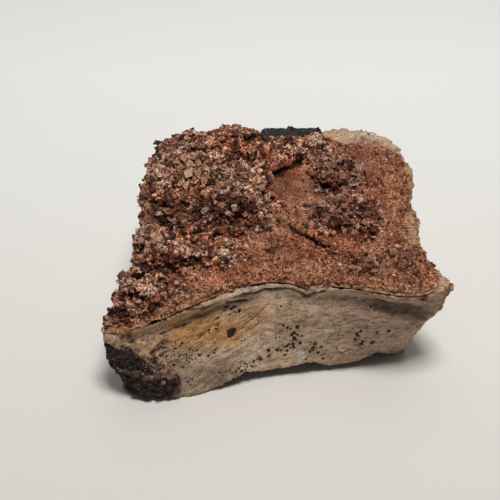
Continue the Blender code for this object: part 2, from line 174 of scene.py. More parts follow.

# Crevices of the crust, cut in and darkened with painted shade, and where limestone dust lies on its edge:
# places in the camera's frame, then half the width in millimetres, and the depth in millimetres or the
# dust's strength.
CREVICES = (
    (((270, 187), (273, 181), (278, 175), (285, 170), (292, 165), (300, 161)), 1.0, 2.2),
    (((309, 172), (314, 178), (321, 184), (331, 187)), 0.8, 1.5),
    (((289, 223), (296, 229), (304, 235), (312, 241), (319, 244), (327, 247)), 0.7, 1.9),
    (((302, 206), (309, 208)), 1.1, 1.5),
    (((316, 224), (330, 229), (345, 227), (360, 222)), 0.9, 1.3),
    (((244, 141), (252, 140), (261, 143)), 1.8, 2.2),
    (((160, 205), (172, 210), (186, 210), (199, 214), (212, 221), (228, 229), (243, 233)), 0.9, 0.9),
    (((243, 233), (258, 231), (273, 229)), 0.9, 1.2),
    (((138, 266), (150, 270), (160, 272), (171, 270)), 0.9, 1.1),
    (((140, 197), (152, 199), (166, 203)), 1.0, 1.3),
    (((250, 246), (262, 250), (274, 252)), 0.8, 1.0),
    (((176, 178), (190, 184), (204, 190)), 0.9, 1.1),
    (((205, 160), (222, 166), (240, 168)), 0.8, 1.0),
)
DUSTED_EDGE = (
    (((160, 321), (172, 315), (185, 306), (197, 299)), 1.5, 0.85),
    (((96, 335), (108, 335), (120, 334), (132, 333), (142, 330), (152, 326)), 1.9, 1.0),
    (((408, 214), (412, 227), (417, 242)), 1.3, 0.8),
    (((402, 232), (408, 240)), 0.9, 0.6),
    (((385, 293), (400, 295), (416, 296), (430, 290), (440, 284)), 1.1, 0.55),
    (((240, 284), (262, 281), (285, 282), (310, 286)), 0.9, 0.4),
)
# Where limestone dust only tints the crust.
HAZE_COURSE = (
    (300, 286), (315, 287), (332, 289), (350, 291), (370, 293), (390, 295), (410, 296), (428, 292),
    (441, 283),
)
DUST_HAZE = ((HAZE_COURSE, 1.5, 0.75),)

# Rock relief: width, height on the broken sides, height on the smoother front.
ROCK_VOXEL = 0.53 * MM
ROCK_CHIPS = (
    (11.0 * MM, 2.0 * MM, 0.35 * MM),
    (4.5 * MM, 1.0 * MM, 0.25 * MM),
    (2.0 * MM, 0.4 * MM, 0.18 * MM),
)
ROCK_RELIEF = (
    (9.0 * MM, 0.8 * MM, 0.55 * MM),
    (3.6 * MM, 0.45 * MM, 0.30 * MM),
    (1.6 * MM, 0.28 * MM, 0.18 * MM),
    (0.9 * MM, 0.14 * MM, 0.10 * MM),
)
# How far the broken sides are cut back, how far the lip over the front stands out, and how deep the
# stained hollow of the dark corner is.
SIDES_CUT = 0.8 * MM
LIP_RISE = 0.9 * MM
STAIN_DEPTH = 1.2 * MM
# The relief fades towards the base: the height where it is whole, and the height it fades over.
BASE_HEIGHT = 2.0 * MM
BASE_FADE = 1.5 * MM
BEDS_PER_MM = 1.1

# The mesh is finer within this many millimetres of a crack.
CRACK_REACH = 1.5
# Cracks of the front face, the lip over it, and its shallow scoops, with the cracks and scoops darkened by
# painted shade and the scoop at (152, 353) a dark stain: places in the camera's frame, then half the width
# and the depth in millimetres.
CRACKS = (
    (((123, 330), (131, 330), (136, 327)), 0.9, 1.6),
    (((138, 322), (143, 319), (148, 318)), 0.8, 1.4),
    (((186, 310), (196, 309), (205, 308), (215, 304), (222, 300), (232, 297), (245, 296)), 0.45, 0.9),
    (((222, 299), (232, 297), (243, 294.5), (252, 293.5)), 0.55, 1.6),
    (((254, 293), (262, 290.5), (275, 289.5), (290, 290), (297, 291.5)), 0.5, 1.6),
    (((297, 292), (303, 296), (309, 297), (316, 293.5), (324, 291.5)), 0.5, 1.3),
    (((226, 303), (236, 301), (246, 300)), 0.35, 0.7),
    (((196, 303), (206, 300), (214, 297)), 0.35, 0.7),
    (((200, 338), (206, 334), (210, 330), (214, 322), (218, 318)), 0.4, 0.4),
    (((247, 324), (256, 317), (262, 310), (268, 305)), 0.4, 0.3),
    (((330, 361), (340, 355), (352, 352), (366, 349)), 0.4, 0.3),
)
LIPS = (
    (((150, 324), (168, 318), (186, 309), (204, 303), (222, 295), (240, 290), (256, 287)), 0.8, 1.0),
)
SCOOPS = (
    (((356, 302), (368, 303), (380, 305)), 1.3, 0.5),
    (((380, 305), (393, 307), (406, 310), (418, 313), (425, 316)), 2.0, 1.3),
    (((405, 316), (414, 320), (420, 326)), 1.2, 0.5),
    (((190, 318), (204, 313), (220, 308)), 1.0, 0.35),
    (((152, 353), (158, 348), (165, 344)), 1.0, 0.9),
    (((206, 384), (214, 374), (226, 362), (240, 352)), 1.4, 0.3),
)
# Pale scuffs of the front face: places in the camera's frame, then half the width in millimetres and
# the strength.
SCUFFS = (
    (((298.5, 350.5), (300, 353.5), (302, 357)), 0.9, 2.4),
    (((250, 339), (259, 336), (270, 334)), 0.8, 0.45),
    (((256, 348), (266, 345), (276, 343)), 0.7, 0.35),
    (((326, 331), (334, 329), (341, 332)), 0.8, 0.4),
    (((328, 350), (338, 349)), 0.8, 0.35),
    (((352, 352), (362, 349)), 0.5, 0.4),
    (((172, 352), (186, 360), (197, 366)), 1.2, 0.3),
)
# The dark corner: where its stone is hollow and earthy, the notches of its oxide, and the oxide's
# earthy bands: places in the camera's frame, then half the width in millimetres, and the depth in
# millimetres or the strength.
CORNER_STAIN = ((((121, 372), (125, 380), (129, 388), (136, 394)), 2.6, 1.0),)
CORNER_NOTCHES = ((((113, 374), (119, 380), (124, 388), (130, 396)), 2.0, 2.2),)
CORNER_BANDS = (
    (((108, 368), (122, 371), (136, 373), (150, 376), (163, 377)), 0.9, 0.55),
    (((134, 372), (144, 375), (152, 380)), 0.9, 0.8),
    (((98, 341), (114, 341), (128, 344), (140, 349), (149, 357)), 1.3, 1.0),
    (((154, 353), (164, 363), (173, 372), (186, 381)), 2.3, 1.0),
    (((150, 361), (156, 369), (166, 376)), 1.0, 0.9),
    (((179, 374), (181, 384), (178, 394)), 1.2, 0.9),
)
# Where the left corner swells out: its middle and its radius, in millimetres, and how far.
SWELLING = (Vector((-44.5, -41.5, 20.3)), 3.0, 1.9)
# Where the bottom edge of the front hangs lower or higher: middle, half width and lift in
# millimetres, then the height and the depth where the lift begins, and how much lower and further
# forward it is whole.
EDGE_LIFTS = ((0.5, 6.5, -2.0), (25.0, 8.5, 1.8))
LIFT_FROM_UP = (12.0, -7.0)
LIFT_FROM_BACK = (-20.0, -8.0)
# Iron stain of the front: centre x and z and radius x and z in millimetres, reach and strength.
OCHRE_STAINS = (
    (-24.0, 21.0, 18.0, 9.0, 1.15, 0.95),
    (-8.0, 22.0, 12.0, 9.0, 1.0, 0.6),
    (-13.0, 20.0, 9.0, 7.0, 1.2, 0.9),
)

# Oxide specks of the front face: places in the camera's frame, and width in 500ths too. Their step is
# a little wider than the frame's, to keep their width once their rims are roughened.
SPECK_STEP = 0.38 * MM
SPECKS = (
    (230.6, 332.4, 8.3),
    (283.8, 325.5, 2.5), (287.3, 327.2, 3.0), (291.0, 328.5, 2.0), (297.5, 327.0, 3.2),
    (301.5, 336.0, 2.5), (292.5, 334.5, 3.0), (294.5, 332.5, 3.0), (296.0, 334.0, 2.5),
    (294.5, 338.0, 3.2), (292.8, 340.5, 1.5), (300.3, 342.8, 3.2), (286.5, 346.0, 3.0),
    (289.0, 344.5, 2.5), (292.5, 344.5, 3.0), (293.5, 347.0, 2.5), (290.5, 347.5, 2.5),
    (284.8, 346.5, 2.0), (268.5, 350.0, 3.0), (277.5, 349.8, 3.0), (279.0, 347.8, 2.0),
    (281.0, 350.3, 2.0), (287.3, 350.3, 3.0), (268.8, 355.3, 2.0), (284.5, 354.5, 2.5),
    (260.0, 357.5, 2.5), (261.5, 359.0, 2.0), (257.0, 359.5, 2.0), (315.0, 344.2, 3.0),
    (312.8, 347.5, 3.2), (312.5, 350.0, 2.5), (309.8, 351.8, 2.5), (320.8, 347.0, 3.0),
    (318.0, 352.5, 2.8), (315.5, 341.8, 1.5), (323.0, 358.5, 2.0), (306.0, 359.0, 2.0),
    (336.5, 348.0, 1.8), (276.0, 337.5, 1.5), (279.5, 336.5, 1.2), (357.0, 334.0, 3.0),
    (358.8, 336.0, 3.0), (360.5, 331.2, 2.8), (355.4, 339.5, 3.0), (361.3, 344.0, 3.5),
    (362.8, 342.0, 3.0), (371.5, 343.0, 3.2), (373.0, 341.5, 2.0), (369.0, 346.5, 1.8),
    (377.0, 332.4, 2.6), (389.0, 331.0, 3.0), (382.2, 342.2, 2.2), (361.5, 353.0, 2.0),
    (368.5, 351.0, 1.8), (368.0, 354.5, 2.2), (370.5, 306.6, 1.8), (281.0, 306.0, 2.0),
    (277.0, 308.5, 1.2), (297.5, 312.0, 1.2), (340.5, 330.0, 1.5), (227.0, 306.5, 2.0),
    (231.0, 308.5, 2.5), (234.0, 307.0, 2.5), (236.0, 306.0, 2.0), (239.0, 311.0, 3.5),
    (230.5, 314.5, 2.0), (218.5, 318.0, 2.5), (218.0, 324.3, 1.8), (216.5, 328.5, 2.5),
    (209.5, 330.0, 2.5), (182.0, 343.0, 2.2), (180.0, 345.5, 1.8), (175.0, 342.0, 1.5),
    (171.5, 341.5, 1.5), (175.5, 348.5, 1.8), (190.0, 348.8, 1.8), (193.5, 350.5, 1.5),
    (197.0, 350.3, 1.8), (199.5, 355.0, 2.2), (208.5, 355.5, 1.8), (215.5, 349.5, 1.8),
    (216.5, 347.0, 1.2), (214.5, 353.5, 1.8), (178.5, 356.5, 1.2), (183.0, 367.5, 1.8),
    (174.0, 364.5, 2.2), (172.0, 368.0, 1.5), (178.0, 361.5, 1.5), (181.0, 362.5, 1.2),
    (219.0, 372.0, 1.8), (222.5, 375.5, 1.8), (192.5, 379.5, 2.0), (188.0, 382.0, 2.0),
    (190.5, 384.5, 1.5), (238.5, 368.5, 2.0), (235.5, 371.0, 2.0), (240.5, 366.5, 1.8),
    (241.5, 371.0, 2.5), (244.5, 363.5, 2.2), (245.0, 369.5, 2.0), (254.0, 361.3, 2.0),
    (252.5, 366.5, 2.0), (260.8, 359.0, 2.4), (163.0, 343.5, 2.0), (164.0, 348.0, 2.5),
    (161.5, 347.5, 2.5), (159.0, 349.0, 2.5), (154.0, 349.5, 2.5), (152.5, 352.5, 2.5),
    (155.0, 354.5, 2.0), (160.0, 355.5, 2.0), (163.0, 354.0, 2.0), (165.0, 357.0, 1.5),
    (161.5, 328.0, 1.5),
)
# Clouds of the smallest specks: centre and spread in the camera's frame, and how many.
SPECK_CLOUDS = (
    (188.0, 357.0, 14.0, 7.0, 34),
    (166.0, 352.0, 7.0, 7.0, 22),
    (246.0, 366.0, 10.0, 4.0, 16),
    (292.0, 342.0, 9.0, 7.0, 12),
    (365.0, 346.0, 9.0, 7.0, 10),
    (232.0, 309.0, 6.0, 4.0, 8),
    (300.0, 330.0, 60.0, 20.0, 26),
)
# The widths of those smallest specks, the seed of their places, and how far towards the front the
# stone under a speck faces at least.
SMALLEST_SPECKS = (0.8, 1.5)
SPECK_SEED = 7
SPECK_FACING = -0.35

# Crystal sizes, widest first, by the names of the scatter's inputs. Heights and the part that is
# sunk are shares of a crystal's width, lean is in radians, and kinship is the neighbours' share of
# the tint.
CRYSTAL_SIZES = {
    "vanadinite_tablets": {
        "Zone": "coarse", "Spacing": 2.8 * MM, "Smallest": 1.8 * MM, "Largest": 3.1 * MM,
        "Flattest": 0.25, "Tallest": 0.55, "Tip": 0.42, "Sides": 6, "Lean": 1.1, "Sunk": -0.5,
        "Kinship": 0.95, "Seed": 3,
    },
    "vanadinite_prisms": {
        "Zone": "coarse", "Spacing": 1.35 * MM, "Smallest": 1.2 * MM, "Largest": 2.4 * MM,
        "Flattest": 0.22, "Tallest": 0.6, "Tip": 0.42, "Sides": 6, "Lean": 1.3, "Sunk": -0.45,
        "Kinship": 0.75, "Seed": 5,
    },
    "vanadinite_flakes": {
        "Zone": "coarse", "Spacing": 0.85 * MM, "Smallest": 0.7 * MM, "Largest": 1.6 * MM,
        "Flattest": 0.2, "Tallest": 0.6, "Tip": 0.42, "Sides": 5, "Lean": 1.4, "Sunk": -0.4,
        "Kinship": 0.45, "Seed": 9,
    },
    "vanadinite_sand": {
        "Zone": "sandy", "Spacing": 0.52 * MM, "Smallest": 0.45 * MM, "Largest": 1.15 * MM,
        "Flattest": 0.25, "Tallest": 0.8, "Tip": 0.36, "Sides": 4, "Lean": 1.3, "Sunk": -0.4,
        "Kinship": 0.5, "Seed": 12,
    },
}
OXIDE_GRAINS = {
    "Zone": "anywhere", "Spacing": 0.55 * MM, "Density": 5e6, "Smallest": 0.4 * MM,
    "Largest": 0.95 * MM, "Tip": 0.36, "Sides": 5, "Lean": 0.9, "Sunk": -0.45, "Kinship": 0.4,
    "Seed": 31,
}
# How rare wide crystals are, how far a corner is moved as a share of the width, and how many
# crystals are tried for each square of the spacing.
RARITY = 1.8
RAGGED = 0.15
DENSEST = 2.4
CRYSTAL_SHADES = (
    (0.22, "#4c1e11"), (0.36, "#975538"), (0.50, "#d2906b"), (0.64, "#e6b697"), (0.82, "#fcdfca"),
)
GRAIN_SHADES = ((0.2, "#532413"), (0.38, "#a3633f"), (0.60, "#cf9068"), (0.85, "#eabb94"))
BLOCK_SHADES = (
    (0.0, "#8a3a28"), (0.12, "#a04c38"), (0.3, "#5f453a"), (0.6, "#bb896d"), (1.0, "#efd0b8"),
)
CORNER_SHADES = (
    (0.15, "#140b08"), (0.5, "#33231d"), (0.76, "#55433a"), (0.88, "#957f70"), (0.97, "#cdb9ab"),
)
BACK_SHADES = (
    (0.15, "#0d0d0a"), (0.5, "#20211b"), (0.74, "#3f3f35"), (0.86, "#7a7263"), (0.95, "#8d8473"),
)

# Relief of the oxide crusts: widths, then heights in millimetres.
OXIDE_VOXEL = 0.42 * MM
OXIDE_LUMPS = (2.4 * MM, 0.8)
OXIDE_BLOCKS = (1.6 * MM, 0.5)
OXIDE_GRAIN = (0.9 * MM, 0.3)
# The grain of the noise that tints their grains, and where it is read.
OXIDE_TINTS = (1.8 * MM, 4.2)
# The two oxide crusts: CAD node, name and slot, shades, share of that relief, bands and notches.
OXIDE_CRUSTS = (
    {
        "node": "dark_oxide_corner",
        "name": "manganese_oxide_corner",
        "slot": "dark_oxide",
        "shades": ("#160c09", "#2d1f19", "#574338"),
        "grain_shades": CORNER_SHADES,
        "lumpy": 1.0,
        "bands": CORNER_BANDS,
        "notches": CORNER_NOTCHES,
    },
    {
        "node": "dark_oxide_back_edge",
        "name": "manganese_oxide_back_edge",
        "slot": "dark_oxide_back_edge",
        "shades": ("#12120e", "#25261f", "#42423a"),
        "grain_shades": BACK_SHADES,
        "lumpy": 0.35,
        "bands": (),
        "notches": (),
    },
)

# Crystals that stand out: place in the camera's frame, width in 500ths, shade 0 to 1. A block is
# narrower than its place says, and lifted by a share of its size.
BLOCK_SHARE = 0.8
BLOCK_LIFT = 0.22
BLOCKS = (
    (184, 159, 7.5, 0.62), (193, 156, 6.5, 0.70), (190, 166, 8.0, 0.66), (199, 163, 6.5, 0.55),
    (187, 174, 8.5, 0.72), (197, 173, 7.5, 0.60), (204, 180, 7.0, 0.66), (180, 168, 6.0, 0.50),
    (176, 162, 5.5, 0.58), (206, 170, 6.0, 0.64), (168, 158, 5.0, 0.42), (172, 150, 5.5, 0.40),
    (241, 221, 7.0, 0.08), (234, 208, 6.0, 0.74), (229, 214, 5.0, 0.66), (246, 214, 5.0, 0.50),
    (222, 205, 5.5, 0.55), (214, 197, 5.0, 0.60), (157, 227, 5.0, 0.52), (152, 236, 6.0, 0.70),
    (160, 241, 5.0, 0.62), (147, 244, 5.0, 0.66), (176, 244, 4.5, 0.74), (190, 251, 5.0, 0.70),
    (316, 168, 6.0, 0.60), (324, 160, 6.0, 0.50), (333, 165, 6.5, 0.45), (341, 160, 5.5, 0.52),
    (328, 174, 6.5, 0.40), (338, 176, 6.0, 0.46), (318, 180, 5.0, 0.35), (322, 206, 6.0, 0.42),
    (332, 212, 6.5, 0.50), (342, 207, 6.0, 0.38), (350, 215, 5.5, 0.34), (338, 199, 5.0, 0.44),
    (356, 207, 5.0, 0.30), (326, 216, 5.0, 0.36), (364, 222, 5.0, 0.48), (347, 195, 5.0, 0.40),
    (142.5, 373.6, 2.2, 0.62), (149.5, 384.0, 1.8, 0.4), (163.6, 383.0, 3.8, 0.38),
    (138, 377, 1.5, 0.6), (145, 370, 1.3, 0.6), (170, 379, 1.3, 0.45),
)
# Small fresh faces that glint: place in the camera's frame, and their width in 500ths.
GLINTS = (
    (205, 222), (182, 239), (216, 239), (169, 241), (227, 250), (245, 260), (222, 262), (230, 266),
    (159, 212), (319, 171), (357, 208), (335, 244), (213, 196), (269, 163), (196, 228), (176, 252),
)
GLINT_WIDTH = 1.5
# The grain of the noise that roughens what is set by hand.
SEAT_GRAIN = 0.6 * MM

# Stage, in metres and watts.
FLOOR_HALF = 1.5
ROOM_COLOUR = "#f6f6f8"
ROOM_STRENGTH = 0.13
LAMPS = (
    ("ceiling", (0.07, -0.17, 0.8), 0.22, 5.6, "#ffffff"),
    ("room", (0.0, 0.5, 0.8), 1.0, 2.2, "#fffdfa"),
)

# The inputs of the two Geometry Nodes trees, and the kind of socket of each.
SEAT_INPUTS = {"Points": "Geometry", "Thickness": "Float", "Lean": "Float", "Finish": "Material"}
SCATTER_INPUTS = {
    "Surface": "Geometry", "Zone": "String", "Spacing": "Float", "Density": "Float",
    "Smallest": "Float", "Largest": "Float", "Rarity": "Float", "Flattest": "Float",
    "Tallest": "Float", "Tip": "Float", "Sides": "Int", "Lean": "Float", "Sunk": "Float",
    "Ragged": "Float", "Kinship": "Float", "Seed": "Int", "Finish": "Material",
}


def linear(code):
    """A colour written as sRGB hex, as linear values."""
    shares = [int(code[place : place + 2], 16) / 255 for place in (1, 3, 5)]
    light = [share / 12.92 if share <= 0.04045 else ((share + 0.055) / 1.055) ** 2.4 for share in shares]
    return (*light, 1.0)


def feed(tree, node, inputs):
    """Gives each named or numbered input of a node a value or a link."""
    for name, value in inputs.items():
        if isinstance(value, bpy.types.NodeSocket):
            tree.links.new(value, node.inputs[name])
        else:
            node.inputs[name].default_value = value


def add(tree, kind, inputs=None, **settings):
    """Adds a node with its settings, and gives its inputs their values and links."""
    node = tree.nodes.new(kind)
    for setting, value in settings.items():
        if setting == "stops":
            for _ in range(len(value) - len(node.color_ramp.elements)):
                node.color_ramp.elements.new(0.5)
            for stop, (place, colour) in zip(node.color_ramp.elements, value):
                stop.position = place
                stop.color = linear(colour)
        else:
            setattr(node, setting, value)
    feed(tree, node, inputs or {})
    return node


def link_object(name, data):
    made = bpy.data.objects.new(name, data)
    bpy.context.scene.collection.objects.link(made)
    return made


def applied(piece):
    """The mesh of a piece with its modifiers applied."""
    depsgraph = bpy.context.evaluated_depsgraph_get()
    return bpy.data.meshes.new_from_object(piece.evaluated_get(depsgraph))


def shape_tree(node):
    """A CAD node's surface, for finding the nearest or the first point on it."""
    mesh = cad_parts[node].data
    corners = [vert.co.copy() for vert in mesh.vertices]
    return BVHTree.FromPolygons(corners, [list(face.vertices) for face in mesh.polygons])


def fine_copy(node, name, voxel, sunk=0.0, carrier=None):
    """A CAD node's shape as an even, fine mesh. Where it lies on its carrier it is sunk into it, more
    deeply where it is thick."""
    bm = bmesh.new()
    bm.from_mesh(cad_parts[node].data)
    bmesh.ops.remove_doubles(bm, verts=bm.verts, dist=WELD)
    if carrier:
        shape = shape_tree(node)
        for vert in bm.verts:
            _, normal, _, distance = carrier.find_nearest(vert.co)
            if distance < CONTACT:
                hit, _, _, thick = shape.ray_cast(vert.co + normal * CONTACT, normal, THICK)
                share = ease((thick + CONTACT) / THICK) if hit else 0.0
                vert.co -= normal * mixed(RIM_SUNK, sunk, share)
    mesh = bpy.data.meshes.new(name)
    bm.to_mesh(mesh)
    bm.free()
    piece = link_object(name, mesh)
    remesh = piece.modifiers.new("even_mesh", "REMESH")
    remesh.mode = "VOXEL"
    remesh.voxel_size = voxel
    piece.data = applied(piece)
    piece.modifiers.clear()
    return piece


def refine(piece, chosen):
    """Halves the mesh's edges wherever all the corners of a face are chosen."""
    bm = bmesh.new()
    bm.from_mesh(piece.data)
    faces = [face for face in bm.faces if all(chosen[vert.index] for vert in face.verts)]
    edges = list({edge for face in faces for edge in face.edges})
    bmesh.ops.subdivide_edges(bm, edges=edges, cuts=1, use_grid_fill=True)
    bm.to_mesh(piece.data)
    bm.free()


def read_points(mesh):
    """The places and the normals of a mesh's vertices, as two arrays."""
    places = np.empty(len(mesh.vertices) * 3)
    normals = np.empty(len(mesh.vertices) * 3)
    mesh.vertices.foreach_get("co", places)
    mesh.vertex_normals.foreach_get("vector", normals)
    return places.reshape(-1, 3), normals.reshape(-1, 3)


def write_points(mesh, places):
    mesh.vertices.foreach_set("co", places.ravel())
    mesh.update()


def paint(mesh, **shares):
    """Keeps one number for each vertex under each name, for the materials and scatters to read."""
    for name, values in shares.items():
        layer = mesh.attributes.new(name, "FLOAT", "POINT")
        layer.data.foreach_set("value", np.asarray(values, dtype=np.float32))


def ease(share):
    """A share kept within 0 and 1, with soft ends."""
    share = np.clip(share, 0.0, 1.0)
    return share * share * (3 - 2 * share)


def near(away, reach):
    """1 well within a reach, a half at it, and 0 half as far again."""
    return ease(1.5 - away / reach)


def past(values, start, width, wander=0.0):
    """0 up to a start and 1 from a width past it, with a wandering edge. A negative width looks the
    other way."""
    return ease((values - start) / width + wander)


def mixed(start, end, share):
    return start + (end - start) * share


def perlin(places, grain, shift=0.0):
    """Smooth noise of that grain at each place, about -1 to 1."""
    return np.array([noise.noise(Vector(place) / grain + Vector((shift, shift, shift))) for place in places])


def lumps(places, width):
    """Rounded lumps of that width with creases between them: high on a lump, low in a crease."""
    nearest = [noise.voronoi(Vector(place) / width)[0][0] for place in places]
    return 0.5 - np.array(nearest)


def blocks(places, width):
    """Intergrown block tops of that width: each at its own height and tilt, about -1 to 1, and each
    with its own tint, 0 to 1."""
    heights, tints = np.empty(len(places)), np.empty(len(places))
    for number, place in enumerate(places):
        at = Vector(place) / width
        centre = noise.voronoi(at)[1][0]
        own = noise.noise_vector(centre * BLOCK_SHUFFLE)
        heights[number] = own.z + BLOCK_TILT * (at - centre).dot(own)
        tints[number] = 0.5 + own.x
    return heights, np.clip(tints, 0.0, 1.0)


def wandering(places, parts):
    """How far the edges of zones wander at each place, as a share of a zone's radius."""
    return sum(share * perlin(places, grain) for grain, share in parts)


def strayed(places, stray):
    """The places, moved about by smooth noise."""
    reach, grain = stray
    ways = [perlin(places, grain, shift) for shift in STRAY_SHIFTS]
    return places + reach * np.stack(ways, axis=1)


def inside(places, zones, wander, softness=0.3):
    """How far each place lies inside the strongest of the zones seen from above, 0 to 1."""
    best = np.zeros(len(places))
    for x, y, rx, ry, turn, strength in zones:
        cos, sin = math.cos(math.radians(turn)), math.sin(math.radians(turn))
        dx, dy = places[:, 0] / MM - x, places[:, 1] / MM - y
        reach = np.hypot((dx * cos + dy * sin) / rx, (dy * cos - dx * sin) / ry) + wander
        best = np.maximum(best, strength * ease((1 + softness / 2 - reach) / softness))
    return best


def camera_axes():
    """The camera's place, and its ways forward, right and up."""
    rise = math.radians(CAMERA_ELEVATION)
    forward = Vector((0, math.cos(rise), -math.sin(rise)))
    upward = Vector((0, math.sin(rise), math.cos(rise)))
    return CAMERA_AIM - forward * CAMERA_DISTANCE, forward, Vector((1, 0, 0)), upward


def seen(surface, across, down):
    """Where the camera's line through a place in its frame meets a surface: point and normal."""
    start, forward, right, upward = camera_axes()
    reach = CAMERA_LENS / SENSOR * FRAME
    aside = right * ((across - FRAME / 2) / reach) + upward * ((FRAME / 2 - down) / reach)
    point, normal, _, _ = surface.ray_cast(start, (forward + aside).normalized())
    return point, normal


def node_tree(name, inputs, result):
    """A new Geometry Nodes tree with these inputs and one geometry as its result."""
    tree = bpy.data.node_groups.new(name, "GeometryNodeTree")
    for socket, kind in inputs.items():
        tree.interface.new_socket(name=socket, in_out="INPUT", socket_type="NodeSocket" + kind)
    tree.interface.new_socket(name=result, in_out="OUTPUT", socket_type="NodeSocketGeometry")
    return tree, add(tree, "NodeGroupInput").outputs


def run_tree(piece, tree, values):
    """Runs a Geometry Nodes tree on a piece and keeps the result as a plain mesh."""
    modifier = piece.modifiers.new(tree.name, "NODES")
    modifier.node_group = tree
    for item in tree.interface.items_tree:
        if item.in_out == "INPUT" and item.name in values:
            modifier[item.identifier] = values[item.name]
    piece.data = applied(piece)
    piece.modifiers.clear()
    return piece


def scatter_tree():
    """Geometry Nodes: crystals or grains, seated on a surface where one of its attributes allows."""
    tree, given = node_tree("scatter_crystals", SCATTER_INPUTS, "Crystals")
    allowed = add(tree, "GeometryNodeInputNamedAttribute", {"Name": given["Zone"]})
    seats = add(
        tree,
        "GeometryNodeDistributePointsOnFaces",
        {
            "Mesh": given["Surface"],
            "Distance Min": given["Spacing"],
            "Density Max": given["Density"],
            "Density Factor": allowed.outputs["Attribute"],
            "Seed": given["Seed"],
        },
        distribute_method="POISSON",
    )
    # What is random about each crystal: a seed of its own, added to the given one, and its range.
    back = add(tree, "ShaderNodeMath", {0: given["Lean"], 1: -1.0}, operation="MULTIPLY").outputs[0]
    chance = {}
    for name, shift, low, high in (
        ("width", 1.0, 0.0, 1.0),
        ("depth", 2.0, 0.3, 0.9),
        ("height", 3.0, given["Flattest"], given["Tallest"]),
        ("aside", 4.0, back, given["Lean"]),
        ("backward", 5.0, back, given["Lean"]),
        ("turn", 6.0, 0.0, math.tau),
        ("tint", 7.0, 0.0, 1.0),
    ):
        seed = add(tree, "ShaderNodeMath", {0: given["Seed"], 1: shift}, operation="ADD").outputs[0]
        drawn = add(tree, "FunctionNodeRandomValue", {2: low, 3: high, "Seed": seed})
        chance[name] = drawn.outputs[1]

    rare = add(tree, "ShaderNodeMath", {0: chance["width"], 1: given["Rarity"]}, operation="POWER")
    range_of_widths = {"Value": rare.outputs[0], "To Min": given["Smallest"], "To Max": given["Largest"]}
    width = add(tree, "ShaderNodeMapRange", range_of_widths).outputs[0]
    depth, height = [
        add(tree, "ShaderNodeMath", {0: width, 1: share}, operation="MULTIPLY").outputs[0]
        for share in (chance["depth"], chance["height"])
    ]
    scale = add(tree, "ShaderNodeCombineXYZ", {"X": width, "Y": depth, "Z": height})
    angles = {"X": chance["aside"], "Y": chance["backward"], "Z": chance["turn"]}
    lean = add(tree, "ShaderNodeCombineXYZ", angles)
    turn = add(tree, "FunctionNodeEulerToRotation", {"Euler": lean.outputs[0]})
    aim = add(
        tree,
        "FunctionNodeRotateRotation",
        {"Rotation": seats.outputs["Rotation"], "Rotate By": turn.outputs[0]},
        rotation_space="LOCAL",
    )
    # Neighbours share a tint: a part of it comes from the surface they grow on.
    ground = add(tree, "GeometryNodeInputNamedAttribute", {"Name": "tint"}).outputs["Attribute"]
    tint = add(tree, "ShaderNodeMix", {0: given["Kinship"], 2: chance["tint"], 3: ground}).outputs[0]
    points = seats.outputs["Points"]
    for name, value in (("tint", tint), ("width", width)):
        kept = {"Geometry": points, "Name": name, "Value": value}
        points = add(tree, "GeometryNodeStoreNamedAttribute", kept).outputs["Geometry"]

    cone = {"Vertices": given["Sides"], "Radius Top": given["Tip"], "Radius Bottom": 0.5, "Depth": 1.0}
    prism = add(tree, "GeometryNodeMeshCone", cone, fill_type="NGON").outputs["Mesh"]
    # How far up its crystal each corner is, for the painted shade low between the crystals.
    corner = add(tree, "GeometryNodeInputPosition").outputs["Position"]
    up_crystal = add(tree, "ShaderNodeSeparateXYZ", {"Vector": corner}).outputs["Z"]
    kept = {"Geometry": prism, "Name": "rise", "Value": up_crystal}
    measured = add(tree, "GeometryNodeStoreNamedAttribute", kept).outputs["Geometry"]
    drop = add(tree, "ShaderNodeCombineXYZ", {"Z": given["Sunk"]}).outputs[0]
    crystal = add(tree, "GeometryNodeTransform", {"Geometry": measured, "Translation": drop})
    grown = add(
        tree,
        "GeometryNodeInstanceOnPoints",
        {
            "Points": points,
            "Instance": crystal.outputs["Geometry"],
            "Rotation": aim.outputs[0],
            "Scale": scale.outputs[0],
        },
    )
    real = add(tree, "GeometryNodeRealizeInstances", {"Geometry": grown.outputs["Instances"]})
    # Broken and intergrown crystals: every corner is moved by its own share of the crystal's width.
    own_width = add(tree, "GeometryNodeInputNamedAttribute", {"Name": "width"}).outputs["Attribute"]
    reach = add(tree, "ShaderNodeMath", {0: own_width, 1: given["Ragged"]}, operation="MULTIPLY")
    any_way = {0: (-1.0, -1.0, -1.0), 1: (1.0, 1.0, 1.0), "Seed": given["Seed"]}
    way = add(tree, "FunctionNodeRandomValue", any_way, data_type="FLOAT_VECTOR").outputs[0]
    shift = add(tree, "ShaderNodeVectorMath", {0: way, "Scale": reach.outputs[0]}, operation="SCALE")
    moved = {"Geometry": real.outputs["Geometry"], "Offset": shift.outputs[0]}
    broken = add(tree, "GeometryNodeSetPosition", moved).outputs["Geometry"]
    flat = {"Geometry": broken, "Shade Smooth": False}
    faceted = add(tree, "GeometryNodeSetShadeSmooth", flat).outputs["Geometry"]
    finish = {"Geometry": faceted, "Material": given["Finish"]}
    finished = add(tree, "GeometryNodeSetMaterial", finish).outputs["Geometry"]
    add(tree, "NodeGroupOutput", {"Crystals": finished})
    return tree


def scatter(tree, surface, name, sizes, finish):
    """A coat of crystals or grains on a surface, as a piece of its own."""
    shared = {"Rarity": RARITY, "Ragged": RAGGED, "Finish": finish}
    return run_tree(link_object(name, surface.data.copy()), tree, {**sizes, **shared})


def new_material(name):
    """A named material, its node tree and its Principled shader."""
    material = bpy.data.materials.new(name)
    material.use_nodes = True
    return material, material.node_tree, material.node_tree.nodes["Principled BSDF"]


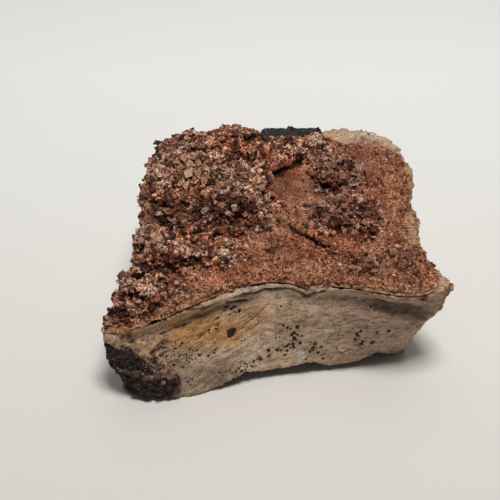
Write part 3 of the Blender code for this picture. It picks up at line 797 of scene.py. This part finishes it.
def painted(tree, **strengths):
    """What is painted on a piece under each of these names, weakened to its strength."""
    shares = {}
    for name, strength in strengths.items():
        share = add(tree, "ShaderNodeAttribute", attribute_name=name).outputs["Fac"]
        weaker = add(tree, "ShaderNodeMath", {0: share, 1: strength}, operation="MULTIPLY")
        shares[name] = weaker.outputs[0]
    return shares


def coated(tree, colour, *coats):
    """A colour under coats, each with the share that it covers, its own colour and how it blends."""
    for share, coat, way in coats:
        layers = {0: share, 6: colour, 7: linear(coat) if isinstance(coat, str) else coat}
        colour = add(tree, "ShaderNodeMix", layers, data_type="RGBA", blend_type=way).outputs[2]
    return colour


def limestone_material():
    """Broken limestone: dull and fine-grained, mottled along its beds, with ochre iron stain, a pale
    skin, and white scuffs."""
    material, tree, shader = new_material("broken_limestone")
    place = add(tree, "ShaderNodeTexCoord").outputs["Object"]
    shares = painted(tree, ochre=1.0, rosy=1.0, pale=1.0, grime=1.0, scuff=1.0, bed=1.0)
    # 0.11 clouds to the millimetre, each 9 mm wide, and grains of 1.1 mm and of 0.4 mm.
    cloud, grain, fine = [
        add(tree, "ShaderNodeTexNoise", {"Vector": place, "Scale": scale, "Detail": detail}).outputs["Fac"]
        for scale, detail in ((0.11 / MM, 5.0), (0.9 / MM, 3.0), (2.6 / MM, 2.0))
    ]
    # Mottling along the beds, 2.5 mm long and 1 mm thick: the painted height runs across them.
    across = add(tree, "ShaderNodeCombineXYZ", {"Z": shares["bed"]})
    along = add(tree, "ShaderNodeMapping", {"Vector": place, "Scale": (0.4 / MM, 0.4 / MM, 0.0)})
    both = {0: along.outputs[0], 1: across.outputs[0]}
    bedding = add(tree, "ShaderNodeVectorMath", both, operation="ADD").outputs[0]
    mottle = add(tree, "ShaderNodeTexNoise", {"Vector": bedding, "Scale": 1.0, "Detail": 5.0}).outputs["Fac"]
    body, skin, mottled, flecks = [
        add(tree, "ShaderNodeValToRGB", {"Fac": pattern}, stops=stops).outputs[0]
        for pattern, stops in (
            (cloud, ((0.32, "#b89c82"), (0.50, "#d8bb9d"), (0.68, "#ead4ba"))),
            (grain, ((0.35, "#906749"), (0.50, "#c09b7a"), (0.66, "#dcbd9c"))),
            (mottle, ((0.32, "#90837a"), (0.46, "#e6e1dd"), (0.58, "#ffffff"))),
            (fine, ((0.36, "#75665a"), (0.48, "#e6e2df"), (0.58, "#ffffff"))),
        )
    ]
    # A scuff shows as white scratches, 0.4 mm wide.
    scratches = add(tree, "ShaderNodeMapRange", {"Value": fine, "From Min": 0.50, "From Max": 0.60})
    both = {0: shares["scuff"], 1: scratches.outputs[0]}
    scuffed = add(tree, "ShaderNodeMath", both, operation="MULTIPLY").outputs[0]
    colour = coated(
        tree,
        body,
        (shares["rosy"], "#c0a38d", "MIX"),
        (shares["ochre"], "#d29b60", "MIX"),
        (shares["pale"], skin, "MIX"),
        # Dirt, and painted shade in the cracks, scoops and hollows, underneath and on what faces up.
        (shares["grime"], "#35221a", "MIX"),
        (0.75, mottled, "MULTIPLY"),
        (0.6, flecks, "MULTIPLY"),
        (scuffed, "#e9dfd2", "MIX"),
    )
    relief = add(tree, "ShaderNodeMath", {0: mottle, 1: grain}, operation="ADD").outputs[0]
    bump = add(tree, "ShaderNodeBump", {"Strength": 0.8, "Distance": 0.3 * MM, "Height": relief})
    finish = {"Base Color": colour, "Normal": bump.outputs[0], "Roughness": 0.85, "Specular IOR Level": 0.3}
    feed(tree, shader, finish)
    return material


def druse_material():
    """Vanadinite druse: intergrown brown-red crystals under orange dust, with painted shade in the pits and
    crevices and a painted highlight on the ridges.
    """
    material, tree, shader = new_material("vanadinite_druse")
    place = add(tree, "ShaderNodeTexCoord").outputs["Object"]
    shares = painted(
        tree, tint=1.0, coarse=1.0, red=0.75, beige=0.75, dark=0.8, pit=0.95, edge=0.7, rocky=1.0
    )
    # Clouds 6 mm wide and grains of 0.7 mm.
    cloud, grain = [
        add(tree, "ShaderNodeTexNoise", {"Vector": place, "Scale": scale, "Detail": detail}).outputs["Fac"]
        for scale, detail in ((0.16 / MM, 4.0), (1.5 / MM, 3.0))
    ]
    sandy, blocky, speckle = [
        add(tree, "ShaderNodeValToRGB", {"Fac": pattern}, stops=stops).outputs[0]
        for pattern, stops in (
            (cloud, ((0.32, "#85492f"), (0.50, "#b3734e"), (0.68, "#d39c78"))),
            (shares["tint"], CRYSTAL_SHADES),
            (grain, ((0.36, "#5e3322"), (0.50, "#dccdc3"), (0.62, "#ffffff"))),
        )
    ]
    colour = coated(
        tree,
        sandy,
        (shares["coarse"], blocky, "MIX"),
        (shares["red"], "#b8663f", "COLOR"),
        (shares["beige"], "#c6a07e", "COLOR"),
        # Painted highlight on the ridges of the relief.
        (shares["edge"], "#f2d2b6", "MIX"),
        (shares["rocky"], "#bb9470", "MIX"),
        (0.75, speckle, "MULTIPLY"),
        # Dark minerals, and painted shade under ledges and overhangs.
        (shares["dark"], "#7d5f55", "MULTIPLY"),
        # Painted shade in the pits and crevices.
        (shares["pit"], "#2c1209", "MIX"),
    )
    bump = add(tree, "ShaderNodeBump", {"Strength": 0.8, "Distance": 0.2 * MM, "Height": grain})
    finish = {"Base Color": colour, "Normal": bump.outputs[0], "Roughness": 0.75, "Specular IOR Level": 0.35}
    feed(tree, shader, finish)
    return material


def crystal_material(name, stops, earth_and_low_shade):
    """Weathered vanadinite: resinous under a brown dust, each crystal its own shade, darkened by painted
    shade low between the crystals and in the pits of the crust."""
    material, tree, shader = new_material(name)
    place = add(tree, "ShaderNodeTexCoord").outputs["Object"]
    shares = painted(tree, tint=1.0, rise=1.0, red=0.7, beige=0.75, dark=0.75, pit=0.8)
    # Dust in patches of about 0.7 mm.
    dust = add(tree, "ShaderNodeTexNoise", {"Vector": place, "Scale": 1.4 / MM, "Detail": 3.0})
    shade, patches = [
        add(tree, "ShaderNodeValToRGB", {"Fac": pattern}, stops=colours).outputs[0]
        for pattern, colours in (
            (shares["tint"], stops),
            (dust.outputs["Fac"], ((0.36, "#754831"), (0.56, "#ffffff"))),
        )
    ]
    # Painted shade lies low between the crystals, and in the pits of the crust.
    up = {"Value": shares["rise"], "From Min": 0.35, "From Max": 0.95, "To Min": earth_and_low_shade, "To Max": 0.0}
    low = add(tree, "ShaderNodeMapRange", up).outputs[0]
    earthy = add(tree, "ShaderNodeMath", {0: low, 1: shares["pit"]}, operation="MAXIMUM").outputs[0]
    colour = coated(
        tree,
        shade,
        (shares["red"], "#bb6840", "COLOR"),
        (shares["beige"], "#c39d7d", "COLOR"),
        (0.7, patches, "MULTIPLY"),
        # Dark minerals, and painted shade under ledges and overhangs.
        (shares["dark"], "#7d5f55", "MULTIPLY"),
        # Painted shade low on the crystals and in the pits.
        (earthy, "#290f06", "MIX"),
    )
    # The paler a crystal, the thicker its dust and the duller its faces.
    dull = add(tree, "ShaderNodeMapRange", {"Value": shares["tint"], "To Min": 0.6, "To Max": 0.9})
    finish = {"Base Color": colour, "Roughness": dull.outputs[0], "IOR": 1.6, "Specular IOR Level": 0.25}
    feed(tree, shader, finish)
    return material


def fresh_crystal_material():
    """Fresh vanadinite faces: resinous, with the mineral's high refractive index, and a near-white colour
    that is a painted highlight added to their real reflection.
    """
    material, tree, shader = new_material("fresh_vanadinite")
    tint = add(tree, "ShaderNodeAttribute", attribute_name="tint").outputs["Fac"]
    # The top of the ramp, where every glint sits, is near-white: a painted highlight.
    stops = ((0.0, "#a8785c"), (0.6, "#cfae98"), (1.0, "#efe2d8"))
    shade = add(tree, "ShaderNodeValToRGB", {"Fac": tint}, stops=stops)
    feed(tree, shader, {"Base Color": shade.outputs[0], "Roughness": 0.12, "IOR": 2.35})
    return material


def oxide_material(name, shades):
    """Manganese and iron oxide: brown-black grains, slightly shiny, with a little earth on them."""
    material, tree, shader = new_material(name)
    place = add(tree, "ShaderNodeTexCoord").outputs["Object"]
    earthy = add(tree, "ShaderNodeAttribute", attribute_name="earthy").outputs["Fac"]
    # Grains of 1.1 mm.
    grains = {"Vector": place, "Scale": 0.9 / MM, "Detail": 4.0}
    grain = add(tree, "ShaderNodeTexNoise", grains).outputs["Fac"]
    shade, earth_and_low_shade = [
        add(tree, "ShaderNodeValToRGB", {"Fac": grain}, stops=stops).outputs[0]
        for stops in (
            tuple(zip((0.40, 0.54, 0.70), shades)),
            ((0.36, "#4b382b"), (0.50, "#846954"), (0.64, "#a88a72")),
        )
    ]
    colour = coated(tree, shade, (earthy, earth_and_low_shade, "MIX"))
    bump = add(tree, "ShaderNodeBump", {"Strength": 0.7, "Distance": 0.2 * MM, "Height": grain})
    finish = {"Base Color": colour, "Normal": bump.outputs[0], "Roughness": 0.6, "Specular IOR Level": 0.3}
    feed(tree, shader, finish)
    return material


def floor_material():
    """White laminate: dull, with a faint unevenness, and painted shade that darkens it towards the front."""
    material, tree, shader = new_material("white_laminate")
    place = add(tree, "ShaderNodeTexCoord").outputs["Object"]
    # Clouds 110 mm wide.
    cloud = add(tree, "ShaderNodeTexNoise", {"Vector": place, "Scale": 0.009 / MM, "Detail": 2.0})
    # Painted shade: the floor darkens towards the front, as the light falls off.
    depth = add(tree, "ShaderNodeSeparateXYZ", {"Vector": place}).outputs["Y"]
    far = {"Value": depth, "From Min": -160 * MM, "From Max": 160 * MM}
    away = add(tree, "ShaderNodeMapRange", far).outputs[0]
    uneven = add(tree, "ShaderNodeMath", {0: cloud.outputs["Fac"], 1: 0.1}, operation="MULTIPLY").outputs[0]
    share = add(tree, "ShaderNodeMath", {0: away, 1: uneven}, operation="ADD").outputs[0]
    stops = ((0.05, "#c2bdb4"), (0.45, "#d8d4cd"), (1.0, "#ecece9"))
    shade = add(tree, "ShaderNodeValToRGB", {"Fac": share}, stops=stops)
    feed(tree, shader, {"Base Color": shade.outputs[0], "Roughness": 0.6})
    return material


def near_courses(places, surface, courses):
    """How strongly each place is reached by the lines drawn on a surface: a line's own strength on it,
    half of that at its half width, and 0 half as far again."""
    reached = np.zeros(len(places))
    for course, half_width, strength in courses:
        points = [seen(surface, *place)[0] for place in course]
        points = [np.array(point) for point in points if point]
        for start, end in zip(points, points[1:]):
            way = end - start
            along = np.clip((places - start) @ way / (way @ way), 0.0, 1.0)
            away = np.linalg.norm(places - start - along[:, None] * way, axis=1)
            reached = np.maximum(reached, strength * near(away, half_width * MM))
    return reached


def cover(places, normals, lid):
    """How thickly a crust that lies on the rock covers each of its places: 0 where it is bare."""
    thick = np.zeros(len(places))
    for number, (place, normal) in enumerate(zip(places, normals)):
        if lid.find_nearest(Vector(place), CONTACT)[0] is None:
            continue
        way = Vector(normal)
        hit, _, _, distance = lid.ray_cast(Vector(place) + way * CONTACT, way, THICKEST)
        if hit:
            thick[number] = distance + CONTACT
    return ease(thick / THICK)


def shrunk(mesh, values, steps):
    """Values on a mesh's vertices, each lowered to the least among its neighbours a number of times."""
    ends = np.empty(2 * len(mesh.edges), dtype=int)
    mesh.edges.foreach_get("vertices", ends)
    starts, ends = ends[0::2], ends[1::2]
    for _ in range(steps):
        least = values.copy()
        np.minimum.at(least, starts, values[ends])
        np.minimum.at(least, ends, values[starts])
        values = least
    return values


def stain_rock(mesh, places, normals, front, wander, scuffs):
    """Paints the rock's iron stain, rosy and pale parts, scuffs and beds, and gives the pale share."""
    x, y, z = (places / MM).T
    ochre = np.zeros(len(places))
    for across, up, wide, tall, reach, strength in OCHRE_STAINS:
        away = np.hypot((x - across) / wide, (z - up) / tall)
        ochre = np.maximum(ochre, strength * ease(reach - away + wander))
    # The ledge at the right is stained on top.
    ledge = past(x, 29, 3, wander) * past(y, -20, 5) * past(y, 26, -8, wander)
    ochre = np.maximum(ochre * front, 0.65 * ledge * past(normals[:, 2], 0.1, 0.3))
    # A pale skin lies on top at the back right, on the left corner and on the right tip.
    back = 0.6 * past(x, 8, 8, wander) * past(y, 14, 6, wander) * (normals[:, 2] > 0.3)
    corner = ease(1.2 - np.hypot((x + 38) / 12, (z - 21) / 4) + 0.7 * wander) * np.maximum(front, x < -41)
    pale = np.maximum.reduce([back, 0.8 * corner, 0.9 * past(x, 45, 2, wander)])
    # The beds rise to the right, more steeply at the left end.
    bed = (z - 0.15 * x + 0.005 * np.minimum(x - 10, 0) ** 2 + 0.1 * y) * BEDS_PER_MM
    paint(mesh, ochre=ochre, rosy=past(x, 2, 22, wander) * front, pale=pale, scuff=scuffs, bed=bed)
    return pale


def make_rock(surface, lid):
    """The limestone slab, with broken relief on every side that shows and cracks under its lip."""
    piece = fine_copy("matrix_rock", "broken_limestone_slab", ROCK_VOXEL)
    about_cracks = [(course, CRACK_REACH, 1.0) for course, _, _ in CRACKS]
    refine(piece, near_courses(read_points(piece.data)[0], surface, about_cracks) > 0)
    places, normals = read_points(piece.data)
    x, y, z = (places / MM).T
    # The front is what faces forward and not up; the other sides are broken.
    front = past(-normals[:, 1], 0.25, 0.4) * (normals[:, 2] < 0.6)
    wander = wandering(places, ROCK_WANDER)
    bent = strayed(places, ROCK_STRAY)
    cracks = near_courses(places + (bent - places) * CRACK_STRAY, surface, CRACKS)
    scoops = near_courses(bent + (SCOOP_BEND * wander)[:, None], surface, SCOOPS) * front
    stain = near_courses(bent, surface, CORNER_STAIN)
    covered = shrunk(piece.data, cover(places, normals, lid), COVER_STEPS)
    chipped = np.zeros(len(places))
    for width, broken, smoother in ROCK_CHIPS:
        chipped += mixed(broken, smoother, front) * blocks(bent, width)[0]

    push = chipped - SIDES_CUT * (1 - front) - (cracks + 0.8 * scoops) * MM - ROCK_SUNK * covered
    for grain, broken, smoother in ROCK_RELIEF:
        push += mixed(broken, smoother, front) * perlin(places, grain)
    push += LIP_RISE * near_courses(bent, surface, LIPS) * (1 - covered)
    push -= STAIN_DEPTH * near_courses(places, surface, CORNER_STAIN)
    middle, radius, swelling = SWELLING
    away = np.linalg.norm(places / MM - np.array(middle), axis=1)
    push += swelling * MM * near(away - 1.5 * radius * wander, radius)
    push *= 1 - past(places[:, 2], BASE_HEIGHT, -BASE_FADE)
    moved = places + normals * push[:, None]
    edge = past(z, *LIFT_FROM_UP) * past(y, *LIFT_FROM_BACK)
    for middle, half_width, lift in EDGE_LIFTS:
        moved[:, 2] += lift * MM * edge * near(np.abs(x - middle), half_width)
    moved[:, 2] = np.maximum(moved[:, 2], 0.0)
    write_points(piece.data, moved)

    scuffs = near_courses(places, surface, SCUFFS)
    pale = stain_rock(piece.data, places, normals, front, wander, scuffs)
    # One dark coat of dirt and painted shade.
    grime = [
        # Dirt in patches, and painted shade in the hollows of the broken sides.
        0.5 * past(wander, 0.08, 0.25) * (1 - front) * (1 - pale),
        0.6 * past(-chipped / MM, 0.5, 1.6) * (1 - front),
        # Painted shade in the scoops, one of which is a dark stain, and painted shade that darkens what
        # faces up.
        0.5 * scoops,
        0.42 * past(normals[:, 2], 0.15, 0.5) * (1 - pale),
        # The stain of the dark corner, and darker low on the left.
        0.95 * stain,
        0.36 * past(z, 15, -8, wander) * past(x, -6, -9, wander),
        # Painted shade in the cracks and underneath.
        0.9 * past(cracks, 0.1, 0.8),
        0.85 * past(-normals[:, 2], 0.5, 0.35),
    ]
    paint(piece.data, grime=np.maximum.reduce(grime))
    piece.data.materials.append(limestone_material())
    piece.data.shade_smooth()
    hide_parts("matrix_rock")
    return piece


def outward(places, normals, carrier):
    """1 where a crust's surface is free and 0 where it lies on or in the rock, and its height over
    the rock in metres."""
    free, heights = np.zeros(len(places)), np.zeros(len(places))
    for number, (place, normal) in enumerate(zip(places, normals)):
        nearest, way, _, _ = carrier.find_nearest(Vector(place))
        heights[number] = (Vector(place) - nearest).dot(way)
        free[number] = heights[number] > CLEAR and Vector(normal).dot(way) > 0.0
    return free, heights


def crust_relief(places, coarse):
    """The crust's relief: its broad swell, its detail, and the tint of the block at each place. The
    ridges of the noise are where it is near 0, and a quarter is about its middle height."""

    def height(blocky, sandy):
        return mixed(sandy, blocky, coarse)

    width, *heights = CRUST_SWELL
    swell = height(*heights) * lumps(places, width)
    detail, tint = np.zeros(len(places)), np.zeros(len(places))
    for (width, *heights), share in zip(CRUST_BLOCKS, BLOCK_TINTS):
        tops, tints = blocks(places, width)
        detail += height(*heights) * tops
        tint += share * tints
    width, *heights = CRUST_RIDGES
    detail -= height(*heights) * (np.abs(perlin(places, width)) - 0.25)
    width, *heights = CRUST_GRAINS
    detail += height(*heights) * lumps(places, width)
    return swell, detail, tint


def make_crust(carrier, shape):
    """The vanadinite druse: blocky and pitted where its crystals are coarse, sandy elsewhere."""
    piece = fine_copy("vanadinite_crust", "vanadinite_druse", CRUST_VOXEL, CRUST_SUNK, carrier)
    refine(piece, outward(*read_points(piece.data), carrier)[0])
    places, normals = read_points(piece.data)
    x, y, _ = (places / MM).T
    free, heights = outward(places, normals, carrier)
    wander = wandering(places, CRUST_WANDER)
    floor = inside(places, BARE_FLOOR, wander)
    bent = places + (CRUST_BEND * wander)[:, None]
    dusted = near_courses(bent, shape, DUSTED_EDGE)
    # The crevices are broken here and there.
    crevice = near_courses(strayed(places, CREVICE_STRAY), shape, CREVICES)
    crevice *= ease(0.75 + 1.1 * perlin(places, *CREVICE_BREAKS))
    bare = np.maximum(floor, dusted)
    coarse = inside(places, COARSE, wander) * (1 - bare)
    swell, detail, tint = crust_relief(places, coarse)
    # The relief is calmer on the bare and dusted parts, and lower behind and along the rim.
    calm = 1 - BARE_LOSS * bare
    behind = past(y, 12, 14)
    inland = past(heights, RIM_LOW, RIM_RISE, 1.2 * perlin(places, *RIM_WANDER))
    rim = (1 - np.maximum(floor, ease(crevice))) * (1 - inland)
    push = swell * (1 - SWELL_LOSS * behind) * (1 - rim) + detail * (1 - DETAIL_LOSS * behind)
    push = push * calm - crevice * MM - RIM_DROP * rim
    write_points(piece.data, places + normals * (push * free)[:, None])

    # To the right the crust fades into the rock, so its foot takes the colour of the dust.
    foot = (1 - past(heights / MM, 0.3, 0.9)) * past(x, 5, 6)
    haze = near_courses(bent, shape, DUST_HAZE)
    # How far the detail stands out of its zone's own relief, and what lies low in it.
    proud = detail / (0.6 + 0.55 * coarse) / MM
    hollow = (calm - 0.5 * rim) * past(proud, 0.04, -0.6)
    grown_over = free * (1 - ease(crevice)) * (1 - dusted) * (1 - 0.4 * hollow)
    paint(
        piece.data,
        # Dark minerals, painted shade under ledges and overhangs, and a darker floor in the cavity.
        dark=np.maximum(0.72 * inside(places, DARK_AND_SHADED, wander, softness=0.6), 0.55 * floor),
        red=inside(places, RED, wander, softness=0.7),
        beige=inside(places, BEIGE, wander, softness=0.6),
        # Painted shade in what lies low and in the crevices.
        pit=np.maximum(hollow, ease(0.8 * crevice)) * (1 - foot),
        # Painted highlight where the detail stands out most.
        edge=calm * past(proud, 0.3, 0.6),
        tint=tint,
        rocky=0.85 * np.maximum.reduce([dusted, 0.4 * past(rim, 0.5, 0.5), foot, haze]),
        coarse=grown_over * coarse,
        sandy=grown_over * (1 - coarse) * (1 - 0.8 * floor),
    )
    piece.data.materials.append(druse_material())
    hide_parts("vanadinite_crust")
    return piece


def make_crystals(tree, crust):
    """Crystals and grains of the crust, from the widest tablets down to the sandy grains."""
    finishes = {
        "coarse": crystal_material("weathered_vanadinite_crystals", CRYSTAL_SHADES, 0.8),
        "sandy": crystal_material("weathered_vanadinite_grains", GRAIN_SHADES, 0.7),
    }
    made = []
    for name, sizes in CRYSTAL_SIZES.items():
        density = {"Density": DENSEST / sizes["Spacing"] ** 2}
        piece = scatter(tree, crust, name, {**sizes, **density}, finishes[sizes["Zone"]])
        made.append(piece)
    return made


def make_oxide(tree, carrier, node, name, slot, shades, grain_shades, lumpy, bands, notches):
    """An oxide crust: lumpy, with a coat of grains of its own, earthy bands and notches."""
    shape = shape_tree(node)
    piece = fine_copy(node, name, OXIDE_VOXEL, OXIDE_SUNK, carrier)
    places, normals = read_points(piece.data)
    free, _ = outward(places, normals, carrier)
    relief = OXIDE_LUMPS[1] * lumps(places, OXIDE_LUMPS[0])
    relief += OXIDE_GRAIN[1] * perlin(places, OXIDE_GRAIN[0])
    relief += OXIDE_BLOCKS[1] * blocks(places, OXIDE_BLOCKS[0])[0]
    push = (lumpy * relief - near_courses(places, shape, notches)) * MM
    write_points(piece.data, places + normals * (push * free)[:, None])
    earthy = near_courses(strayed(places, BAND_STRAY), shape, bands)
    tint = 0.5 + 0.7 * perlin(places, *OXIDE_TINTS)
    paint(piece.data, earthy=earthy, anywhere=free * (1 - 0.9 * earthy), tint=tint)
    piece.data.materials.append(oxide_material(name, shades))
    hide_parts(node)
    heights = {"Flattest": 0.5 * lumpy, "Tallest": 0.9 * lumpy}
    finish = crystal_material(name + "_grains", grain_shades, 0.6)
    grains = scatter(tree, piece, name + "_grains", {**OXIDE_GRAINS, **heights}, finish)
    return [piece, grains]


def seat_tree(name, kind, **shape):
    """Geometry Nodes: one shape on each given point, as wide and facing the way the point says."""
    tree, given = node_tree(name, SEAT_INPUTS, "Seated")
    seats = add(tree, "GeometryNodeMeshToPoints", {"Mesh": given["Points"]})
    facing, width = [
        add(tree, "GeometryNodeInputNamedAttribute", {"Name": name}, data_type=stored).outputs["Attribute"]
        for name, stored in (("facing", "FLOAT_VECTOR"), ("width", "FLOAT"))
    ]
    aim = add(tree, "FunctionNodeAlignRotationToVector", {"Vector": facing}, axis="Z")
    back = add(tree, "ShaderNodeMath", {0: given["Lean"], 1: -1.0}, operation="MULTIPLY").outputs[0]
    longer, aside, backward, turn = [
        add(tree, "FunctionNodeRandomValue", {2: low, 3: high, "Seed": seed}).outputs[1]
        for seed, low, high in (
            (3, 0.95, 1.2), (4, back, given["Lean"]), (5, back, given["Lean"]), (6, 0.0, math.tau),
        )
    ]
    lean = add(tree, "ShaderNodeCombineXYZ", {"X": aside, "Y": backward, "Z": turn})
    leaned = add(tree, "FunctionNodeEulerToRotation", {"Euler": lean.outputs[0]})
    way = add(
        tree,
        "FunctionNodeRotateRotation",
        {"Rotation": aim.outputs[0], "Rotate By": leaned.outputs[0]},
        rotation_space="LOCAL",
    )
    length, thick = [
        add(tree, "ShaderNodeMath", {0: width, 1: share}, operation="MULTIPLY").outputs[0]
        for share in (longer, given["Thickness"])
    ]
    scale = add(tree, "ShaderNodeCombineXYZ", {"X": length, "Y": width, "Z": thick})
    laid = add(
        tree,
        "GeometryNodeInstanceOnPoints",
        {
            "Points": seats.outputs[0],
            "Instance": add(tree, kind, shape).outputs["Mesh"],
            "Rotation": way.outputs[0],
            "Scale": scale.outputs[0],
        },
    )
    real = add(tree, "GeometryNodeRealizeInstances", {"Geometry": laid.outputs["Instances"]})
    finish = {"Geometry": real.outputs["Geometry"], "Material": given["Finish"]}
    finished = add(tree, "GeometryNodeSetMaterial", finish).outputs["Geometry"]
    add(tree, "NodeGroupOutput", {"Seated": finished})
    return tree


def seat(tree, name, seats, values, ragged):
    """Puts a tree's shape on seats, each a point, a normal, a width and a shade, and moves its corners
    by up to ragged."""
    points, normals, widths, shades = zip(*seats)
    mesh = bpy.data.meshes.new(name + "_points")
    mesh.from_pydata(points, [], [])
    paint(mesh, width=widths, tint=shades, rise=np.ones(len(seats)))
    facing = mesh.attributes.new("facing", "FLOAT_VECTOR", "POINT")
    facing.data.foreach_set("vector", np.array([tuple(normal) for normal in normals]).ravel())
    piece = run_tree(link_object(name, mesh), tree, values)
    places, _ = read_points(piece.data)
    shift = [tuple(noise.noise_vector(Vector(place) / SEAT_GRAIN) * ragged) for place in places]
    write_points(piece.data, places + np.array(shift))
    return piece


def make_specks(surface, shape):
    """Manganese oxide specks on the front face, in clusters, with one large round one."""
    chance = random.Random(SPECK_SEED)
    wanted = list(SPECKS)
    for across, down, spread_across, spread_down, count in SPECK_CLOUDS:
        for _ in range(count):
            place = (chance.gauss(across, spread_across / 2), chance.gauss(down, spread_down / 2))
            wanted.append((*place, chance.uniform(*SMALLEST_SPECKS)))
    seats = []
    for across, down, width in wanted:
        point, _ = seen(surface, across, down)
        normal = shape.find_nearest(point)[1] if point else None
        if point and normal.y < SPECK_FACING:
            seats.append((point, normal, width * SPECK_STEP, 0.0))
    tree = seat_tree("lay_specks", "GeometryNodeMeshIcoSphere", Radius=0.5, Subdivisions=2)
    finish = oxide_material("manganese_oxide_specks", ("#14100d", "#211a15", "#382d25"))
    flakes = {"Thickness": 0.28, "Lean": 0.0, "Finish": finish}
    piece = seat(tree, "manganese_specks", seats, flakes, ragged=0.2 * MM)
    return piece


def make_standing_crystals(surface):
    """The crystals that stand out from the rest: blocks, and small fresh faces that glint."""
    tree = seat_tree("set_crystals", "GeometryNodeMeshCube")
    seats = []
    for across, down, width, shade in BLOCKS:
        point, normal = seen(surface, across, down)
        size = width * FRAME_STEP * BLOCK_SHARE
        seats.append((point + normal * size * BLOCK_LIFT, normal, size, shade))
    finish = crystal_material("blocky_vanadinite", BLOCK_SHADES, 0.0)
    squat = {"Thickness": 0.8, "Lean": 0.7, "Finish": finish}
    blocky = seat(tree, "vanadinite_blocks", seats, squat, ragged=0.22 * MM)
    seats = [(*seen(surface, across, down), GLINT_WIDTH * FRAME_STEP, 1.0) for across, down in GLINTS]
    sharp = {"Thickness": 0.9, "Lean": 0.9, "Finish": fresh_crystal_material()}
    fresh = seat(tree, "fresh_vanadinite", seats, sharp, ragged=0.05 * MM)
    for piece in (blocky, fresh):
        piece.data.shade_flat()
    return [blocky, fresh]


def whole_surface(pieces):
    """The surface of all these pieces together, to set crystals on."""
    corners, faces = [], []
    for piece in pieces:
        first = len(corners)
        corners += [vert.co.copy() for vert in piece.data.vertices]
        faces += [[first + corner for corner in face.vertices] for face in piece.data.polygons]
    return BVHTree.FromPolygons(corners, faces)


def make_stage():
    """The pale floor, the soft light and the camera."""
    floor_mesh = bpy.data.meshes.new("floor")
    bm = bmesh.new()
    bmesh.ops.create_grid(bm, x_segments=1, y_segments=1, size=FLOOR_HALF)
    bm.to_mesh(floor_mesh)
    bm.free()
    floor_mesh.materials.append(floor_material())
    floor = link_object("floor", floor_mesh)
    floor.location.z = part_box("matrix_rock")[0][2]

    world = bpy.data.worlds.new("soft_room")
    bpy.context.scene.world = world
    world.use_nodes = True
    room = world.node_tree.nodes["Background"]
    feed(world.node_tree, room, {"Color": linear(ROOM_COLOUR), "Strength": ROOM_STRENGTH})
    for name, place, size, power, colour in LAMPS:
        light = bpy.data.lights.new(name, "AREA")
        light.size = size
        light.energy = power
        light.color = linear(colour)[:3]
        lamp = link_object(name, light)
        lamp.location = Vector(place)
        lamp.rotation_euler = (CAMERA_AIM - lamp.location).to_track_quat("-Z", "Y").to_euler()

    lens = bpy.data.cameras.new("camera")
    lens.lens = CAMERA_LENS
    lens.sensor_width = SENSOR
    lens.clip_start = 10 * MM
    camera = link_object("camera", lens)
    start, forward, _, _ = camera_axes()
    camera.location = start
    camera.rotation_euler = forward.to_track_quat("-Z", "Y").to_euler()
    bpy.context.scene.camera = camera
    bpy.context.scene.view_settings.view_transform = "Standard"


noise.seed_set(NOISE_SEED)
make_stage()
rock_surface = shape_tree("matrix_rock")
crust_surface = shape_tree("vanadinite_crust")
crystal_scatter = scatter_tree()
rock = make_rock(rock_surface, crust_surface)
crust = make_crust(rock_surface, crust_surface)
rock_as_made = BVHTree.FromObject(rock, bpy.context.evaluated_depsgraph_get())
pieces = [rock, crust, *make_crystals(crystal_scatter, crust), make_specks(rock_as_made, rock_surface)]
for oxide in OXIDE_CRUSTS:
    pieces += make_oxide(crystal_scatter, rock_surface, **oxide)
pieces += make_standing_crystals(whole_surface(pieces))
for piece in pieces:
    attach(piece, ROOT)
